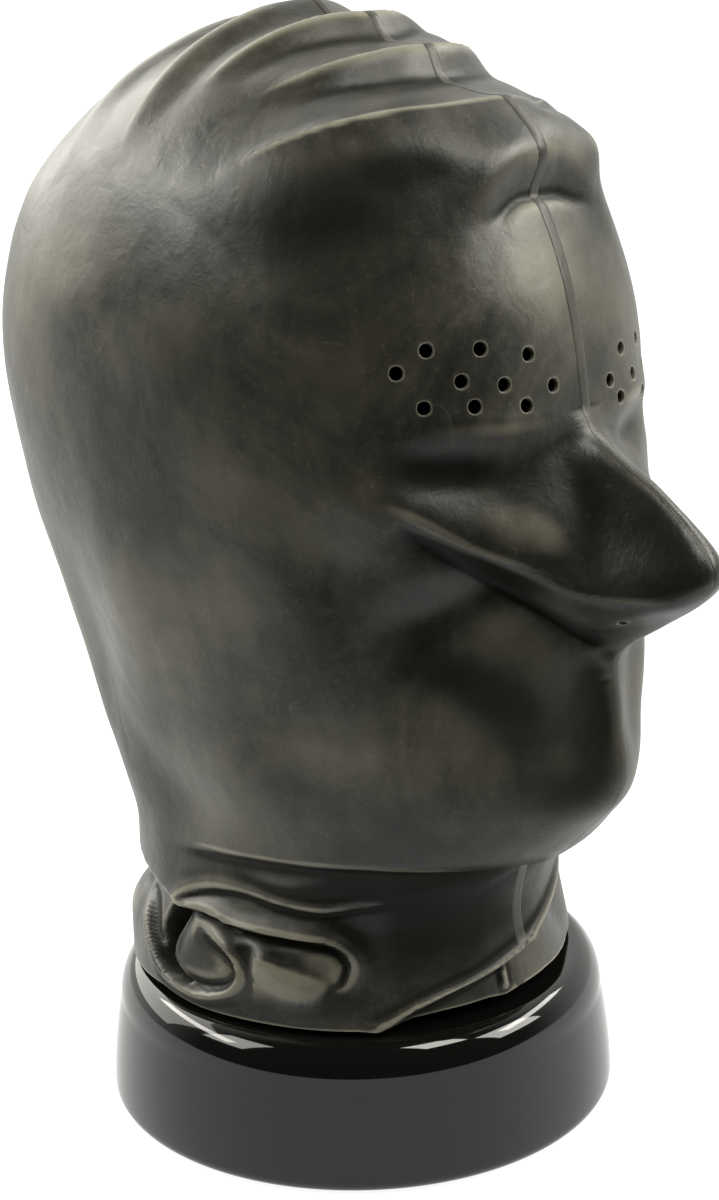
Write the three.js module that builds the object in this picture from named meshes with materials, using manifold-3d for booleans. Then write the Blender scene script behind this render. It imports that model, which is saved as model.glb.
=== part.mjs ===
// A latex hood on a round display base. Millimetres, +Z up, the face toward -Y.
// The origin is the centre of the base's underside. The hood is two halves of thin sheet with a
// flat seam strip glued over the line where they meet, from the hem in front over the crown to
// the hem behind.

import * as THREE from "three";
import { mergeVertices } from "three/addons/utils/BufferGeometryUtils.js";
import Module from "manifold-3d";

const wasm = await Module();
wasm.setup();
const { Manifold, Mesh } = wasm;

// The display base
const BASE_RADIUS = 77.7;
const BASE_HEIGHT = 44;
const BASE_FOOT_ROUND = 4;
const BASE_WALL_DRAFT = 3.2;
const BASE_SHOULDER_DROP = 12;
const BASE_SHOULDER_WIDTH = 8;
const BASE_FACETS = 40;

// The hood
const SEAT_CLEARANCE = 0.3;
const SEAT_MARGIN = 0.5;
const HEAD_LENGTH = 196;
const HEAD_BREADTH = 157;
const HOOD_HEIGHT = 280.7;
const WALL = 1.5;
const NOSE_REACH = 37.8;
const EYE_HOLE_DIAMETER = 4.2;
const NOSTRIL_HOLE_DIAMETER = 2.6;

// The seam strip lies over the joint of the two halves, on a thin line of glue
const SEAM_WIDTH = 4;
const SEAM_THICKNESS = 0.6;
const SEAM_GLUE = 0.5;
const SEAM_GAP = 0.3;

const HEM_HEIGHT = BASE_HEIGHT + SEAT_CLEARANCE;

// The hem keeps within the flat top of the base by SEAT_MARGIN; the skin is fitted to that from
// the hem up to this share of HOOD_HEIGHT.
const SEAT_FIT_UP_TO = 0.3345;

// Heights in every table are shares of HOOD_HEIGHT above the hem; azimuths are degrees, 0 to the
// front (-Y) and positive to the wearer's left (+X).

// The head under the sheet
// height, front and back of the axis (of HEAD_LENGTH), half width (of HEAD_BREADTH),
// squareness of the front and of the back (2 is an ellipse)
const SECTIONS = [
  [0, 0.3469, 0.3724, 0.4204, 2, 2],
  [0.0498, 0.3316, 0.3622, 0.4013, 2, 2],
  [0.1068, 0.3214, 0.3495, 0.3822, 2, 2],
  [0.1495, 0.3418, 0.3673, 0.379, 2, 2],
  [0.1993, 0.4337, 0.4082, 0.3885, 1.95, 2.05],
  [0.2562, 0.4949, 0.4388, 0.4076, 1.78, 2.1],
  [0.3345, 0.5102, 0.4694, 0.4268, 1.7, 2.15],
  [0.4057, 0.5, 0.4923, 0.4522, 1.74, 2.2],
  [0.4769, 0.4796, 0.5153, 0.4745, 1.88, 2.2],
  [0.548, 0.4643, 0.5383, 0.4904, 2.1, 2.2],
  [0.6192, 0.449, 0.5587, 0.5, 2.2, 2.2],
  [0.6904, 0.4388, 0.5638, 0.5, 2.25, 2.2],
  [0.7616, 0.4158, 0.5459, 0.4841, 2.2, 2.2],
  [0.8292, 0.3724, 0.5, 0.4459, 2.15, 2.2],
  [0.8861, 0.3061, 0.4286, 0.3854, 2.1, 2.15],
  [0.9359, 0.2143, 0.3316, 0.2994, 2.05, 2.1],
  [0.9733, 0.1122, 0.2143, 0.1975, 2, 2],
  [0.9929, 0.0255, 0.1122, 0.0987, 2, 2],
  [1, -0.0408, 0.0408, 0, 2, 2],
];

// The nose in profile
// height, how far the ridge stands out (of NOSE_REACH)
const NOSE = [
  [0.3772, 0],
  [0.3932, 0.0212],
  [0.4057, 0.0847],
  [0.4164, 0.2249],
  [0.4288, 0.4762],
  [0.4431, 0.7619],
  [0.4591, 0.9471],
  [0.4769, 1],
  [0.4982, 0.9735],
  [0.5196, 0.8677],
  [0.5427, 0.709],
  [0.5641, 0.5344],
  [0.5854, 0.3175],
  [0.6121, 0.1058],
  [0.6406, 0],
];

// The sheet stretched from the nose to the cheeks: the height of its lower edge at the nose and
// how much higher that is at the cheek, the height where it meets the brow, the azimuth where it
// ends, how far it stands out at the nose (of NOSE_REACH), the radius of the face (of
// HEAD_BREADTH), its curve from the brow down and how soft its lower edge is (of HEAD_BREADTH)
const SHEET_FOOT = 0.4431;
const SHEET_RISE = 0.1068;
const SHEET_TOP = 0.6228;
const SHEET_SPAN = 47;
const SHEET_REACH = 0.6614;
const FACE_RADIUS = 0.5478;
const SHEET_CURVE = 1.25;
const SHEET_UNDER_NOSE = 0.0414;
const SHEET_UNDER_CHEEK = 0.0732;

// The ridge of the nose: half width at the bridge and at the tip (of HEAD_BREADTH), the heights
// between which it changes, and how blunt it is (degrees)
const RIDGE_AT_BRIDGE = 0.0446;
const RIDGE_AT_TIP = 0.0605;
const RIDGE_BRIDGE_UP = 0.573;
const RIDGE_TIP_UP = 0.484;
const RIDGE_BLUNT = 3;

// Folds across the crown, from the forehead back. Angles are seen from the right, from straight
// ahead (0) to straight up (90), about the point below.
const CROWN_CENTRE_BACK = 0.0612;
const CROWN_CENTRE_UP = 0.7153;
// crest angle at the midline, how much further back it is at the side, power of that sweep,
// reach to the right and to the left, rise, width behind and before (all of HEAD_BREADTH),
// dip before it (of its rise)
const ROLLS = [
  [57.6, 20, 2, 0.293, 0.2803, 0.0318, 0.0414, 0.0382, 0.3],
  [73, 19, 1.3, 0.293, 0.2548, 0.0293, 0.0382, 0.035, 0.25],
  [88, 17, 1.1, 0.4076, 0.3312, 0.0293, 0.0478, 0.0414, 0.25],
  [101, 32, 1.2, 0.3949, 0.3185, 0.0217, 0.051, 0.0414, 0.25],
];

// The side distance at which a sweep is stated (of HEAD_BREADTH)
const SWEEP_SIDE = 0.3822;

// The deep roll over the forehead: the same sizes, and the depth of the crease below it. Its
// front is steep at the midline and runs out softly beyond VISOR_SOFT_TO.
const VISOR_CREST = 38.3;
const VISOR_SWEEP = 17;
const VISOR_SWEEP_POWER = 2.2;
const VISOR_SPAN_RIGHT = 0.4331;
const VISOR_SPAN_LEFT = 0.3185;
const VISOR_RISE = 0.0624;
const VISOR_BACK = 0.0541;
const VISOR_FRONT = 0.1369;
const VISOR_FRONT_SOFT = 0.2070;
const VISOR_CREASE = 0.0102;
const VISOR_CREASE_WIDTH = 0.0204;
const VISOR_SOFT_FROM = 0.0382;
const VISOR_SOFT_TO = 0.2166;
const VISOR_FLARE = 0.0127;

// Sharp folds of the sheet, each along a curve through three points, soft on its left-hand side
// and steep on its right
// azimuth and height of the start, of the middle and of the end, rise, width of the soft side,
// width of the steep side, drop behind the steep side, reach of that drop (of HEAD_BREADTH),
// fade at its ends (of its length), 2 if it is on both sides of the hood
const LIPS = [
  [-45, 0.5765, -25, 0.5107, -6, 0.4573, 0.014, 0.051, 0.0191, 0.0217, 0.0637, 0.12, 1],
  [6, 0.4573, 18, 0.4982, 30, 0.5445, 0.0102, 0.051, 0.0191, 0.0166, 0.0637, 0.25, 1],
  [-112, 0.089, -80, 0.1014, -47, 0.0854, 0.0229, 0.035, 0.014, 0.0414, 0.0541, 0.16, 1],
  [-52, 0.0961, -46.5, 0.0712, -51, 0.0427, 0.0127, 0.0287, 0.0159, 0.0223, 0.0446, 0.25, 1],
  [-50, 0.0463, -64, 0.0338, -80, 0.0356, 0.0102, 0.0318, 0.0191, 0.0038, 0.0318, 0.25, 1],
  [-96, 0.016, -112, 0.032, -128, 0.1068, 0.0287, 0.0764, 0.0153, 0.0382, 0.0573, 0.15, 1],
  [-80, 0.0854, -83, 0.0249, -97, 0.0142, 0.0178, 0.0223, 0.014, 0.035, 0.051, 0.2, 1],
  [-146, 0.1246, -118, 0.1139, -94, 0.0961, 0.0127, 0.0573, 0.0153, 0.0382, 0.0637, 0.2, 1],
  [-46, 0.0007, -10, 0.0448, 36, 0.1068, 0.0076, 0.0382, 0.0096, 0.0293, 0.3822, 0.03, 1],
  [-108, 0.1103, -80, 0.1477, -40, 0.1352, 0.0127, 0.0318, 0.0223, 0.0051, 0.0382, 0.3, 1],
  [-108, 0.1673, -45, 0.1922, 20, 0.1566, 0.0064, 0.051, 0.0191, 0.0153, 0.0414, 0.2, 2],
  [52, 0.0641, 95, 0.0783, 140, 0.0569, 0.0153, 0.0446, 0.0191, 0.0166, 0.0573, 0.3, 1],
];

// One degree of azimuth on the neck, and on the face (of HEAD_BREADTH)
const LIP_AROUND = 0.00713;
const DENT_AROUND = 0.00828;

// Soft hollows and swellings
// azimuth, height, half width (degrees), half height, depth (of HEAD_BREADTH, out is
// positive), tilt (degrees), 2 if it is on both sides of the hood
const DENTS = [
  [-29, 0.6014, 13, 0.0478, -0.0382, -4, 1],
  [18, 0.6014, 8, 0.0414, -0.0191, 4, 1],
  [-20, 0.6352, 15, 0.0229, 0.0153, 0, 2],
  [-42, 0.5658, 9, 0.0573, 0.0115, -30, 2],
  [-30, 0.4698, 17, 0.051, -0.0268, 24, 2],
  [-55, 0.5196, 9, 0.1019, -0.014, 24, 2],
  [-45, 0.4128, 9, 0.1083, -0.0153, -24, 2],
  [-11, 0.3523, 8, 0.1083, -0.0153, 0, 2],
  [-34, 0.3594, 11, 0.1274, -0.0127, 0, 2],
  [-24, 0.3843, 8, 0.0955, 0.0089, -20, 2],
  [0, 0.2705, 16, 0.0764, 0.0191, 0, 1],
  [-68, 0.1637, 9, 0.0318, 0.0102, 0, 1],
  [-100, 0.4484, 11, 0.1911, 0.0178, -18, 2],
  [-82, 0.2776, 12, 0.1274, 0.0153, -28, 2],
  [-121, 0.3772, 12, 0.2166, -0.0242, -14, 2],
  [-102, 0.2206, 14, 0.0828, -0.0159, -24, 2],
  [8, 0.052, 8, 0.0153, -0.014, 12, 1],
  [-5, 0.032, 2, 0.0382, 0.0102, 0, 1],
  [-150, 0.0463, 18, 0.0573, 0.0178, 0, 2],
  [24, 0.8559, 9, 0.0318, 0.0191, 0, 1],
  [20, 0.9004, 12, 0.0223, -0.0229, 0, 1],
  [50, 0.9715, 22, 0.0191, 0.014, 0, 1],
  [-142, 0.0747, 14, 0.0287, -0.0223, 0, 1],
];

// The hem's wave
// azimuth, height above its lowest point (of HEAD_BREADTH)
const HEM = [
  [-180, 0.0038],
  [-150, 0],
  [-128, 0.0013],
  [-117, 0.0064],
  [-105, 0.014],
  [-90, 0.0076],
  [-70, 0.0102],
  [-48, 0.0102],
  [-44, 0.0076],
  [-40, 0.014],
  [-34, 0.0255],
  [-26, 0.0306],
  [-12, 0.0331],
  [-6, 0.028],
  [0, 0.0331],
  [12, 0.0357],
  [26, 0.0293],
  [45, 0.0159],
  [80, 0.0038],
  [130, 0.0025],
  [180, 0.0038],
];
const HEM_WAVE_TOP = 0.0712;

// Breathing and looking holes
// azimuth, height
const EYE_HOLES = [
  [-32.8, 0.7132],
  [-22.2, 0.711],
  [-12, 0.7007],
  [-38.8, 0.694],
  [-26.6, 0.6833],
  [-18, 0.6762],
  [-7, 0.6683],
  [-34.2, 0.6609],
  [-24.4, 0.6591],
  [-13.6, 0.6541],
  [22.8, 0.6865],
  [12.4, 0.6854],
  [34, 0.6797],
  [41, 0.6601],
  [29, 0.6548],
  [17.5, 0.6562],
  [7.4, 0.6591],
  [35, 0.6317],
  [23.5, 0.6335],
  [10.5, 0.6399],
];
const NOSTRIL_HOLES = [
  [-6.8, 0.4388],
  [6.8, 0.4388],
];
const HOLE_FACETS = 10;

// How finely the panels are faceted: columns from front to back, and rows up to each share
const PANEL_COLUMNS = 22;
const ROW_BANDS = [
  [0.16, 10],
  [0.34, 5],
  [0.58, 12],
  [0.76, 4],
  [0.985, 11],
];

const rad = (degrees) => (degrees * Math.PI) / 180;
const deg = (radians) => (radians * 180) / Math.PI;
const clamp = (v, low, high) => Math.min(high, Math.max(low, v));
const bell = (v) => Math.exp(-v * v);

// 0 up to `from`, 1 beyond `to`, eased between them
function ramp(from, to, v) {
  const u = clamp((v - from) / (to - from), 0, 1);
  return u * u * (3 - 2 * u);
}

// Cubic through a table: the first column gives the stations, all other columns are read at v.
function readTable(stations, rows, v) {
  let i = 0;
  while (i < stations.length - 2 && v >= stations[i + 1]) {
    i += 1;
  }
  const last = stations.length - 1;
  const slope = (k, c) => {
    const a = Math.max(k - 1, 0);
    const b = Math.min(k + 1, last);
    return (rows[b][c] - rows[a][c]) / (stations[b] - stations[a]);
  };
  const step = stations[i + 1] - stations[i];
  const u = (v - stations[i]) / step;
  const w = 1 - u;
  return rows[i].map((value, c) => (
    (1 + 2 * u) * w * w * value
    + u * w * w * step * slope(i, c)
    + u * u * (3 - 2 * u) * rows[i + 1][c]
    + u * u * (u - 1) * step * slope(i + 1, c)
  ));
}

// Straight lines between the rows of a two-column table
function readLine(rows, v) {
  let i = 0;
  while (i < rows.length - 2 && v >= rows[i + 1][0]) {
    i += 1;
  }
  const u = clamp((v - rows[i][0]) / (rows[i + 1][0] - rows[i][0]), 0, 1);
  return rows[i][1] + u * (rows[i + 1][1] - rows[i][1]);
}

const at = (share) => HEM_HEIGHT + share * HOOD_HEIGHT;

const seatRadius = BASE_RADIUS - BASE_WALL_DRAFT - BASE_SHOULDER_WIDTH;
const hemHalfWidth = SECTIONS[0][3] * HEAD_BREADTH;
const hemFit = (seatRadius - SEAT_MARGIN) / hemHalfWidth;

const sections = SECTIONS.map(([height, front, back, half, squareFront, squareBack]) => {
  const fit = 1 + (hemFit - 1) * (1 - ramp(0, SEAT_FIT_UP_TO, height));
  return [
    at(height),
    -front * HEAD_LENGTH * fit,
    back * HEAD_LENGTH * fit,
    half * HEAD_BREADTH * fit,
    squareFront,
    squareBack,
  ];
});

// How far along the skin each section lies, from 0 at the hem to 1 at the crown
const sectionStations = [0];
for (let i = 1; i < sections.length; i += 1) {
  const [z0, front0, back0, half0] = sections[i - 1];
  const [z1, front1, back1, half1] = sections[i];
  const deep = (front1 - back1 - front0 + back0) / 2;
  const run = Math.sqrt((z1 - z0) ** 2 + 0.5 * deep ** 2 + 0.5 * (half1 - half0) ** 2);
  sectionStations.push(sectionStations[i - 1] + run);
}
const wholeRun = sectionStations[sections.length - 1];
sectionStations.forEach((run, i) => {
  sectionStations[i] = run / wholeRun;
});

// The head form before any fold. Azimuth 0 looks to -Y, 90 degrees to +X.
function headForm(azimuth, up) {
  const [z, front, back, half, squareFront, squareBack] = readTable(sectionStations, sections, up);
  const c = Math.cos(azimuth);
  const s = Math.sin(azimuth);
  const turn = 0.5 * (1 + Math.tanh(2.5 * c) / Math.tanh(2.5));
  const power = 2 / (squareBack + (squareFront - squareBack) * turn);
  return [
    half * Math.sign(s) * Math.abs(s) ** power,
    (front + back) / 2 - ((back - front) / 2) * Math.sign(c) * Math.abs(c) ** power,
    z,
  ];
}

// The outward direction, from points a little apart: `turn` radians around and `climb` up
function normalOf(surface, azimuth, up, turn = 0.001, climb = 0.001) {
  if (up > 0.997) {
    return [0, 0, 1];
  }
  const a0 = surface(azimuth - turn, up);
  const a1 = surface(azimuth + turn, up);
  const b0 = surface(azimuth, Math.max(up - climb, 0));
  const b1 = surface(azimuth, Math.min(up + climb, 1));
  const a = new THREE.Vector3(a1[0] - a0[0], a1[1] - a0[1], a1[2] - a0[2]);
  const b = new THREE.Vector3(b1[0] - b0[0], b1[1] - b0[1], b1[2] - b0[2]);
  return a.cross(b).normalize().toArray();
}

const noseRows = NOSE.map(([height, reach]) => [at(height), reach * NOSE_REACH]);
const noseStations = noseRows.map((row) => row[0]);
const sheetRise = SHEET_RISE * HOOD_HEIGHT;
const sheetFoot = at(SHEET_FOOT);
const sheetTop = at(SHEET_TOP);
const sheetReach = SHEET_REACH * NOSE_REACH;
const faceRadius = FACE_RADIUS * HEAD_BREADTH;

// How far the taut sheet between nose and cheek stands out, were it all at the midline
function sheetDepth(turn, z) {
  const share = turn / rad(SHEET_SPAN);
  const foot = sheetFoot + sheetRise * share;
  if (z > foot) {
    return sheetReach * (1 - clamp((z - foot) / (sheetTop - foot), 0, 1)) ** SHEET_CURVE;
  }
  const softer = (SHEET_UNDER_CHEEK - SHEET_UNDER_NOSE) * clamp(share, 0, 1);
  const under = HEAD_BREADTH * (SHEET_UNDER_NOSE + softer);
  return sheetReach * Math.exp(-(((foot - z) / under) ** 2.2));
}

// The nose: a straight sheet from the ridge to the cheek, and the ridge itself
function noseDepth(azimuth, x, z) {
  if (Math.cos(azimuth) < 0) {
    return 0;
  }
  const low = noseStations[0];
  const high = noseStations[noseStations.length - 1];
  let ridge = 0;
  if (z > low && z < high) {
    ridge = Math.max(readTable(noseStations, noseRows, z)[1], 0);
  }
  const blunt = rad(RIDGE_BLUNT);
  const turn = Math.sqrt(azimuth * azimuth + blunt * blunt) - blunt;
  const depth = sheetDepth(turn, z);
  const tangent = Math.acos(faceRadius / (faceRadius + depth));
  let sheet = faceRadius * (1 / Math.cos(Math.max(tangent - turn, 0)) - 1);
  const middle = sheetDepth(0, z);
  if (ridge < middle) {
    sheet = Math.min(sheet, ridge + (sheet - ridge) * ramp(0, 0.14, Math.abs(azimuth)));
  }
  const down = ramp(at(RIDGE_BRIDGE_UP), at(RIDGE_TIP_UP), z);
  const width = HEAD_BREADTH * (RIDGE_AT_BRIDGE + (RIDGE_AT_TIP - RIDGE_AT_BRIDGE) * down);
  return sheet + Math.max(ridge - middle, 0) * Math.exp(-((Math.abs(x) / width) ** 2.3));
}

// The folds across the crown, and the deep roll over the forehead
function crownDepth([x, y, z]) {
  const ahead = CROWN_CENTRE_BACK * HEAD_LENGTH - y;
  const above = z - at(CROWN_CENTRE_UP);
  const angle = deg(Math.atan2(above, ahead));
  const radius = Math.hypot(above, ahead);
  const side = Math.abs(x);
  const share = side / (SWEEP_SIDE * HEAD_BREADTH);
  let depth = 0;
  for (const [crest, sweep, power, right, left, rise, behind, before, dip] of ROLLS) {
    const span = (x < 0 ? right : left) * HEAD_BREADTH;
    const q = rad(crest + sweep * share ** power - angle) * radius;
    const size = rise * HEAD_BREADTH * Math.max(1 - (side / span) ** 2, 0);
    const front = before * HEAD_BREADTH;
    if (q < 0) {
      depth += size * Math.exp(q / (behind * HEAD_BREADTH));
    } else {
      depth += size * (bell(q / front) - dip * bell((q - 1.7 * front) / (0.7 * front)));
    }
  }
  const span = (x < 0 ? VISOR_SPAN_RIGHT : VISOR_SPAN_LEFT) * HEAD_BREADTH;
  const q = rad(VISOR_CREST + VISOR_SWEEP * share ** VISOR_SWEEP_POWER - angle) * radius;
  const size = VISOR_RISE * HEAD_BREADTH * Math.max(1 - (side / span) ** 2, 0);
  const k = ramp(VISOR_SOFT_FROM * HEAD_BREADTH, VISOR_SOFT_TO * HEAD_BREADTH, side);
  const flare = VISOR_FLARE * (2 * side / (VISOR_SPAN_LEFT * HEAD_BREADTH)) ** 2 * (1 - k);
  const soft = (VISOR_FRONT_SOFT - VISOR_FRONT) * k;
  const front = HEAD_BREADTH * (VISOR_FRONT + soft + flare);
  if (q < 0) {
    return depth + size * Math.exp(q / (VISOR_BACK * HEAD_BREADTH));
  }
  const crease = VISOR_CREASE * HEAD_BREADTH * (1 - k);
  const width = VISOR_CREASE_WIDTH * HEAD_BREADTH;
  const beyond = (q - front - 0.62 * width) / width;
  return depth + size * Math.exp(-((q / front) ** (9 - 6.6 * k))) - crease * bell(beyond);
}

// Each lip as a chain of short straight pieces, measured in mm around and mm up
const around = LIP_AROUND * HEAD_BREADTH;
const lips = LIPS.map((row) => {
  const [azimuth0, height0, azimuth1, height1, azimuth2, height2, ...sizes] = row;
  const points = [];
  for (let i = 0; i <= 8; i += 1) {
    const u = i / 8;
    const ends = [(1 - u) * (1 - 2 * u), 4 * u * (1 - u), u * (2 * u - 1)];
    points.push([
      around * (ends[0] * azimuth0 + ends[1] * azimuth1 + ends[2] * azimuth2),
      ends[0] * at(height0) + ends[1] * at(height1) + ends[2] * at(height2),
    ]);
  }
  return { points, middle: azimuth1, sizes };
});

// Signed distance to a lip (positive on its soft side) and how far along it that is
function nearLip(lip, azimuth, z) {
  const turned = ((deg(azimuth) - lip.middle + 900) % 360) - 180 + lip.middle;
  const px = turned * around;
  let best = Infinity;
  let along = 0;
  let side = 1;
  for (let i = 0; i < lip.points.length - 1; i += 1) {
    const [ax, az] = lip.points[i];
    const dx = lip.points[i + 1][0] - ax;
    const dz = lip.points[i + 1][1] - az;
    const u = clamp(((px - ax) * dx + (z - az) * dz) / (dx * dx + dz * dz), 0, 1);
    const ex = px - ax - u * dx;
    const ez = z - az - u * dz;
    const away = Math.hypot(ex, ez);
    if (away < best) {
      best = away;
      along = (i + u) / (lip.points.length - 1);
      side = dx * ez - dz * ex >= 0 ? 1 : -1;
    }
  }
  return [best * side, along];
}

function lipDepth(lip, azimuth, z) {
  const [rise, soft, steep, drop, reach, fade] = lip.sizes;
  const [away, along] = nearLip(lip, azimuth, z);
  const ends = ramp(0, fade, along) * ramp(1, 1 - fade, along);
  if (away >= 0) {
    return rise * HEAD_BREADTH * bell(away / (soft * HEAD_BREADTH)) * ends;
  }
  const edge = bell(away / (steep * HEAD_BREADTH));
  const behind = drop * (1 - edge) * bell(away / (reach * HEAD_BREADTH));
  return HEAD_BREADTH * (rise * edge - behind) * ends;
}

function dentDepth([azimuth0, height, wide, tall, depth, tilt], azimuth, z) {
  const turned = ((deg(azimuth) - azimuth0 + 900) % 360) - 180;
  const u = turned * DENT_AROUND * HEAD_BREADTH;
  const v = z - at(height);
  const c = Math.cos(rad(tilt));
  const s = Math.sin(rad(tilt));
  const across = (u * c + v * s) / (wide * DENT_AROUND * HEAD_BREADTH);
  const upward = (-u * s + v * c) / (tall * HEAD_BREADTH);
  return depth * HEAD_BREADTH * bell(across) * bell(upward);
}

// The outer skin of the whole hood
function skin(azimuth, up) {
  const form = headForm(azimuth, up);
  const normal = normalOf(headForm, azimuth, up);
  const z = form[2];
  let depth = noseDepth(azimuth, form[0], z) + crownDepth(form);
  for (const dent of DENTS) {
    depth += dentDepth(dent, azimuth, z);
    if (dent[6] === 2) {
      depth += dentDepth(dent, -azimuth, z);
    }
  }
  if (z < at(0.65)) {
    for (const lip of lips) {
      depth += lipDepth(lip, azimuth, z);
      if (lip.sizes[6] === 2) {
        depth += lipDepth(lip, -azimuth, z);
      }
    }
  }
  const wave = readLine(HEM, deg(azimuth)) * HEAD_BREADTH * ramp(at(HEM_WAVE_TOP), at(0), z);
  return [
    form[0] + depth * normal[0],
    form[1] + depth * normal[1],
    z + depth * normal[2] + wave,
  ];
}

// The stations up the skin where the faceted panels have their rows
const rowStations = [0];
for (const [end, count] of ROW_BANDS) {
  const start = rowStations[rowStations.length - 1];
  for (let i = 1; i <= count; i += 1) {
    rowStations.push(start + ((end - start) * i) / count);
  }
}

// One mesh from points and triangles, as a closed body for the cuts
function solidFrom(points, triangles) {
  const mesh = new Mesh({
    numProp: 3,
    vertProperties: new Float32Array(points.flat()),
    triVerts: new Uint32Array(triangles.flat()),
  });
  mesh.merge();
  return new Manifold(mesh);
}

// Half of the hood: side -1 is the wearer's right, side 1 the left. The outer skin and the inner
// skin each have rows of points that end in one point at the crown.
function panelPoints(side) {
  const outer = [];
  const inner = [];
  const normals = [];
  const add = (azimuth, up) => {
    const point = skin(azimuth, up);
    const normal = normalOf(skin, azimuth, up, 0.025, 0.008);
    const level = up === 0 ? 0 : normal[2];
    const behind = [
      point[0] - WALL * normal[0],
      point[1] - WALL * normal[1],
      point[2] - WALL * level,
    ];
    point[0] = side * Math.max(side * point[0], SEAM_GAP / 2);
    behind[0] = side * Math.max(side * behind[0], SEAM_GAP / 2);
    outer.push(point);
    inner.push(behind);
    normals.push(normal);
  };
  for (const up of rowStations) {
    for (let i = 0; i <= PANEL_COLUMNS; i += 1) {
      add(side * Math.PI * (i / PANEL_COLUMNS) ** 1.5, up);
    }
  }
  add(0, 1);
  return { outer, inner, normals };
}

function panelSolid(side, { outer, inner }) {
  const rows = rowStations.length;
  const columns = PANEL_COLUMNS;
  const index = (i, j) => (j < rows ? j * (columns + 1) + i : rows * (columns + 1));
  const count = outer.length;
  const triangles = [];
  const quad = (a, b, c, d) => {
    triangles.push([a, b, c], [a, c, d]);
  };
  for (let j = 0; j < rows; j += 1) {
    for (let i = 0; i < columns; i += 1) {
      const [a, b, c, d] = [index(i, j), index(i + 1, j), index(i + 1, j + 1), index(i, j + 1)];
      quad(a, b, c, d);
      quad(count + a, count + d, count + c, count + b);
    }
    const [a, b, c, d] = [index(0, j), index(0, j + 1), index(columns, j), index(columns, j + 1)];
    quad(a, b, count + b, count + a);
    quad(c, count + c, count + d, d);
  }
  for (let i = 0; i < columns; i += 1) {
    const [a, b] = [index(i, 0), index(i + 1, 0)];
    quad(a, count + a, count + b, b);
  }
  const whole = triangles.filter(([a, b, c]) => a !== b && b !== c && c !== a);
  if (side < 0) {
    whole.forEach((t) => t.reverse());
  }
  return solidFrom([...outer, ...inner], whole);
}

// A cutter for one hole, square to the skin at its place
function holeCutter(azimuthDegrees, height, diameter) {
  const azimuth = rad(azimuthDegrees);
  let low = 0;
  let high = 1;
  for (let i = 0; i < 30; i += 1) {
    const middle = (low + high) / 2;
    if (headForm(azimuth, middle)[2] < at(height)) {
      low = middle;
    } else {
      high = middle;
    }
  }
  const centre = new THREE.Vector3(...skin(azimuth, low));
  const normal = new THREE.Vector3(...normalOf(skin, azimuth, low));
  const geometry = new THREE.CylinderGeometry(diameter / 2, diameter / 2, 8 * WALL, HOLE_FACETS);
  const turn = new THREE.Quaternion().setFromUnitVectors(new THREE.Vector3(0, 1, 0), normal);
  geometry.applyQuaternion(turn);
  geometry.translate(centre.x, centre.y, centre.z);
  return solidOf(geometry);
}

function solidOf(geometry) {
  geometry.deleteAttribute("normal");
  geometry.deleteAttribute("uv");
  const merged = mergeVertices(geometry, 0.0001);
  return new Manifold(new Mesh({
    numProp: 3,
    vertProperties: new Float32Array(merged.attributes.position.array),
    triVerts: new Uint32Array(merged.index.array),
  }));
}

function geometryOf(solid) {
  const mesh = solid.getMesh();
  const geometry = new THREE.BufferGeometry();
  const points = [];
  for (let i = 0; i < mesh.vertProperties.length; i += mesh.numProp) {
    points.push(...mesh.vertProperties.slice(i, i + 3));
  }
  geometry.setAttribute("position", new THREE.Float32BufferAttribute(points, 3));
  geometry.setIndex([...mesh.triVerts]);
  geometry.computeVertexNormals();
  return geometry;
}

function withHoles(solid, side) {
  let cut = solid;
  for (const [azimuth, height] of EYE_HOLES) {
    if (Math.sign(azimuth) === side) {
      cut = cut.subtract(holeCutter(azimuth, height, EYE_HOLE_DIAMETER));
    }
  }
  for (const [azimuth, height] of NOSTRIL_HOLES) {
    if (Math.sign(azimuth) === side) {
      cut = cut.subtract(holeCutter(azimuth, height, NOSTRIL_HOLE_DIAMETER));
    }
  }
  return cut;
}

// Where a row of a panel is as far from the midline as the strip's edge, and the normal there
function stripEdge({ outer, normals }, column, step, row) {
  const half = SEAM_WIDTH / 2;
  const start = row * (PANEL_COLUMNS + 1);
  for (let i = column; i + step >= 0 && i + step <= PANEL_COLUMNS; i += step) {
    const a = outer[start + i];
    const b = outer[start + i + step];
    if (Math.abs(b[0]) >= half) {
      const u = (half - Math.abs(a[0])) / (Math.abs(b[0]) - Math.abs(a[0]));
      const mix = (p, q) => new THREE.Vector3(...p).lerp(new THREE.Vector3(...q), u);
      const normal = mix(normals[start + i], normals[start + i + step]).normalize();
      return { point: mix(a, b), normal };
    }
  }
  const [x, y, z] = outer[start + column];
  const point = new THREE.Vector3(Math.sign(x) * half, y, z);
  return { point, normal: new THREE.Vector3(...normals[start + column]) };
}

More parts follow.
